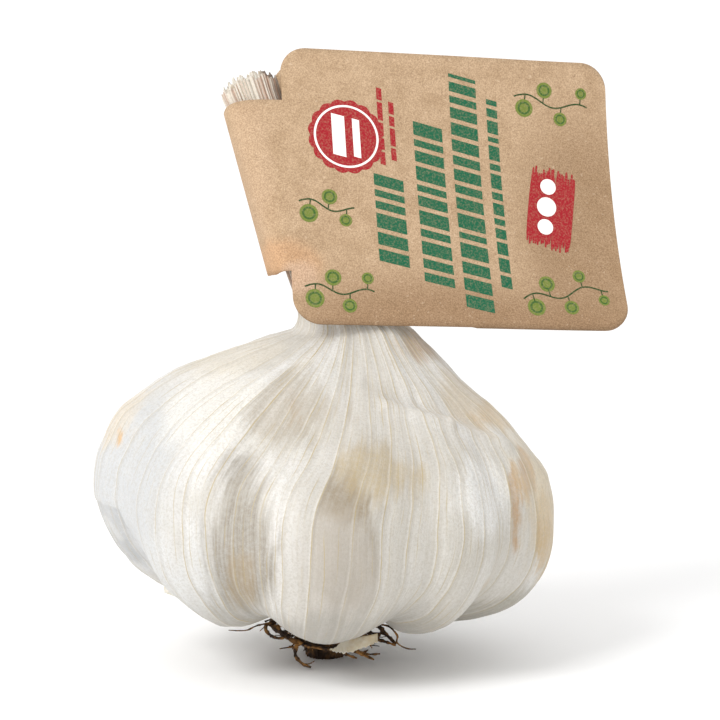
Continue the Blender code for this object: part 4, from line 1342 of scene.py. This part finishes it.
def root_material():
    n = Nodes("dry_root")
    share = n.times(n.ramp(n.noise(520, 4, 0.6), 0.42, 0.66), n.attribute("tan"))
    share = n.math("MULTIPLY", share, 1.5, clamp=True)
    base = n.mix(share, rgb(44, 28, 16), rgb(170, 122, 66))
    base = n.mix(n.ramp(n.noise(1700, 2), 0.6, 0.75, 0.0, 0.6), base, rgb(20, 12, 8))
    return n.finish(base, 0.75, 0.35, n.bump(n.noise(900, 3), 0.00012, 0.7))


LEAF_THICKNESS = 0.16
FLAP_AZIMUTHS = -64.0, -46.0
FLAP_PLACES = 0.37, 0.1
FLAP_WIDTH = 0.16
FLAP_RAGGED = 0.1
FLAP_ENDS = 0.05
FLAP_GAP = 0.6
FLAP_LIFT = 1.8
SCRAP_LEFT_TOP = np.array((1.2, -19.4, 7.0))
SCRAP_RIGHT_TOP = np.array((10.4, -20.4, 9.0))
SCRAP_DROP = 2.4
SCRAP_RAGGED = 0.12
SCRAP_NARROWING = 0.45
SCRAP_WAVE = 0.35
SCRAP_LEAN = 1.2
SCRAP_CORNER = 0.85  # this share of the left end's height is cut off above its tip
SCRAP_CORNER_RUN = 0.34


def leaf_piece(name, columns, rows, point_at, material, node):
    """A thin ragged leaf of dry skin over a grid of points."""
    points = [point_at(u, v) for u in steps(columns) for v in steps(rows)]
    faces = [(a, d, c, b) for a, b, c, d in grid_faces(columns, rows)]
    thicken(piece(name, mesh_of(name, points, faces), material, "loose_skin", node), LEAF_THICKNESS)


def ragged_edge(seed, count):
    """A function that goes up and down at random between -1 and 1 as u goes from 0 to 1."""
    draw = random.Random(SEED + seed)
    heights = [draw.uniform(-1, 1) for _ in range(count)]
    return lambda u: float(np.interp(u, steps(count), heights))


def build_flap(material):
    """The torn outer skin at the lower left."""
    tear = ragged_edge(40, 40)

    def point_at(u, v):
        azimuth = FLAP_AZIMUTHS[0] + (FLAP_AZIMUTHS[1] - FLAP_AZIMUTHS[0]) * u
        width = FLAP_WIDTH * math.sin(math.pi * (FLAP_ENDS + (1 - 2 * FLAP_ENDS) * u))
        width *= 1 + FLAP_RAGGED * tear(u)
        t = FLAP_PLACES[0] + (FLAP_PLACES[1] - FLAP_PLACES[0]) * u + (v - 0.5) * width
        here = np.array([azimuth])
        base = bulb_at(here, "belly", t)[0]
        along = bulb_at(here, "belly", t + 0.02)[0] - base
        normal = unit(np.cross(bulb_at(here + 0.5, "belly", t)[0] - base, along))
        return base + normal * (FLAP_GAP + FLAP_LIFT * (1 - v) * (1 - u))

    leaf_piece("torn_flap", 46, 22, point_at, material, "skin_flap")


def build_scrap(material):
    """The flake of dry skin under the front clove."""
    tear = ragged_edge(41, 30)

    def point_at(u, v):
        cut = SCRAP_CORNER * (1 - smooth(u / SCRAP_CORNER_RUN))
        v = cut + (1 - cut) * v
        drop = SCRAP_DROP * (1 - SCRAP_NARROWING * (2 * u - 1) ** 2 + SCRAP_RAGGED * tear(u))
        wave = SCRAP_WAVE * math.sin(2 * math.pi * (u + v / 3))
        top = SCRAP_LEFT_TOP + (SCRAP_RIGHT_TOP - SCRAP_LEFT_TOP) * u
        return top + np.array((0, wave - SCRAP_LEAN * v, -drop * v))

    leaf_piece("skin_flake", 44, 16, point_at, material, "skin_scrap")


def loose_skin_material(name, pale, brown):
    n = Nodes(name)
    base = n.mix(n.ramp(n.noise(320, 3, 0.6), 0.35, 0.65), pale, brown)
    normal = n.bump(n.noise(700, 3), 0.0001, 0.6)
    return n.finish(base, 0.55, 0.5, normal, (0.25, (1.0, 0.75, 0.5), 0.001))


# The studio, in metres and watts
FLOOR_HALF_WIDTH = 2.0
FLOOR_FRONT = -1.5
FLOOR_BEND = 0.5  # the floor starts to curve up this far back, with this radius
FLOOR_TOP = 2.5
TARGET = Vector((0.007, 0, 0.06))
KEY_PLACE = Vector((-0.5, -0.56, 0.6))
KEY_SIZE = 0.35
KEY_POWER = 5.0
SKY_STRENGTH = 1.0
CAMERA_DISTANCE = 0.42
CAMERA_RISE = 5.0
CAMERA_LENS = 105
CAMERA_SENSOR = 36


def build_floor():
    """A pale sheet that lies under the object and curves up far behind it."""
    profile = [(FLOOR_FRONT, 0.0), (FLOOR_BEND, 0.0)]
    for turn in steps(13, 0, math.pi / 2)[1:]:
        profile.append((FLOOR_BEND * (1 + math.sin(turn)), FLOOR_BEND * (1 - math.cos(turn))))
    profile.append((2 * FLOOR_BEND, FLOOR_TOP))
    sides = -FLOOR_HALF_WIDTH, FLOOR_HALF_WIDTH
    points = [(x / MM, y / MM, z / MM) for y, z in profile for x in sides]
    mesh = mesh_of("floor", points, grid_faces(len(profile), 2))
    mesh.materials.append(Nodes("floor").finish(rgb(250, 250, 250), 0.9))
    mesh.shade_smooth()
    link_object("floor", mesh)


def build_light():
    """One soft square light from the upper left, and an even white sky."""
    light = bpy.data.lights.new("key", "AREA")
    light.size = KEY_SIZE
    light.energy = KEY_POWER
    key = link_object("key", light)
    key.location = KEY_PLACE
    key.rotation_euler = (KEY_PLACE - TARGET).to_track_quat("Z", "Y").to_euler()
    world = bpy.data.worlds.new("studio")
    world.use_nodes = True
    sky = world.node_tree.nodes["Background"]
    sky.inputs["Color"].default_value = (1, 1, 1, 1)
    sky.inputs["Strength"].default_value = SKY_STRENGTH
    bpy.context.scene.world = world


def build_camera():
    """The photograph's viewpoint: slightly from above, square to the card."""
    camera = bpy.data.cameras.new("camera")
    camera.lens = CAMERA_LENS
    camera.sensor_width = CAMERA_SENSOR
    camera.clip_start = 0.01
    obj = link_object("camera", camera)
    rise = math.radians(CAMERA_RISE)
    back = Vector((0, -math.cos(rise), math.sin(rise)))
    obj.location = TARGET + back * CAMERA_DISTANCE
    obj.rotation_euler = back.to_track_quat("Z", "Y").to_euler()
    bpy.context.scene.camera = obj


build_skin(skin_material())
build_stem_cut(cut_material())
build_card(kraft_material())
build_print(ink_material())
build_roots(root_material())
build_flap(loose_skin_material("torn_flap", rgb(214, 211, 202), rgb(190, 180, 160)))
build_scrap(loose_skin_material("skin_flake", rgb(212, 204, 188), rgb(190, 170, 134)))
build_floor()
build_light()
build_camera()
bpy.context.scene.view_settings.view_transform = "Standard"
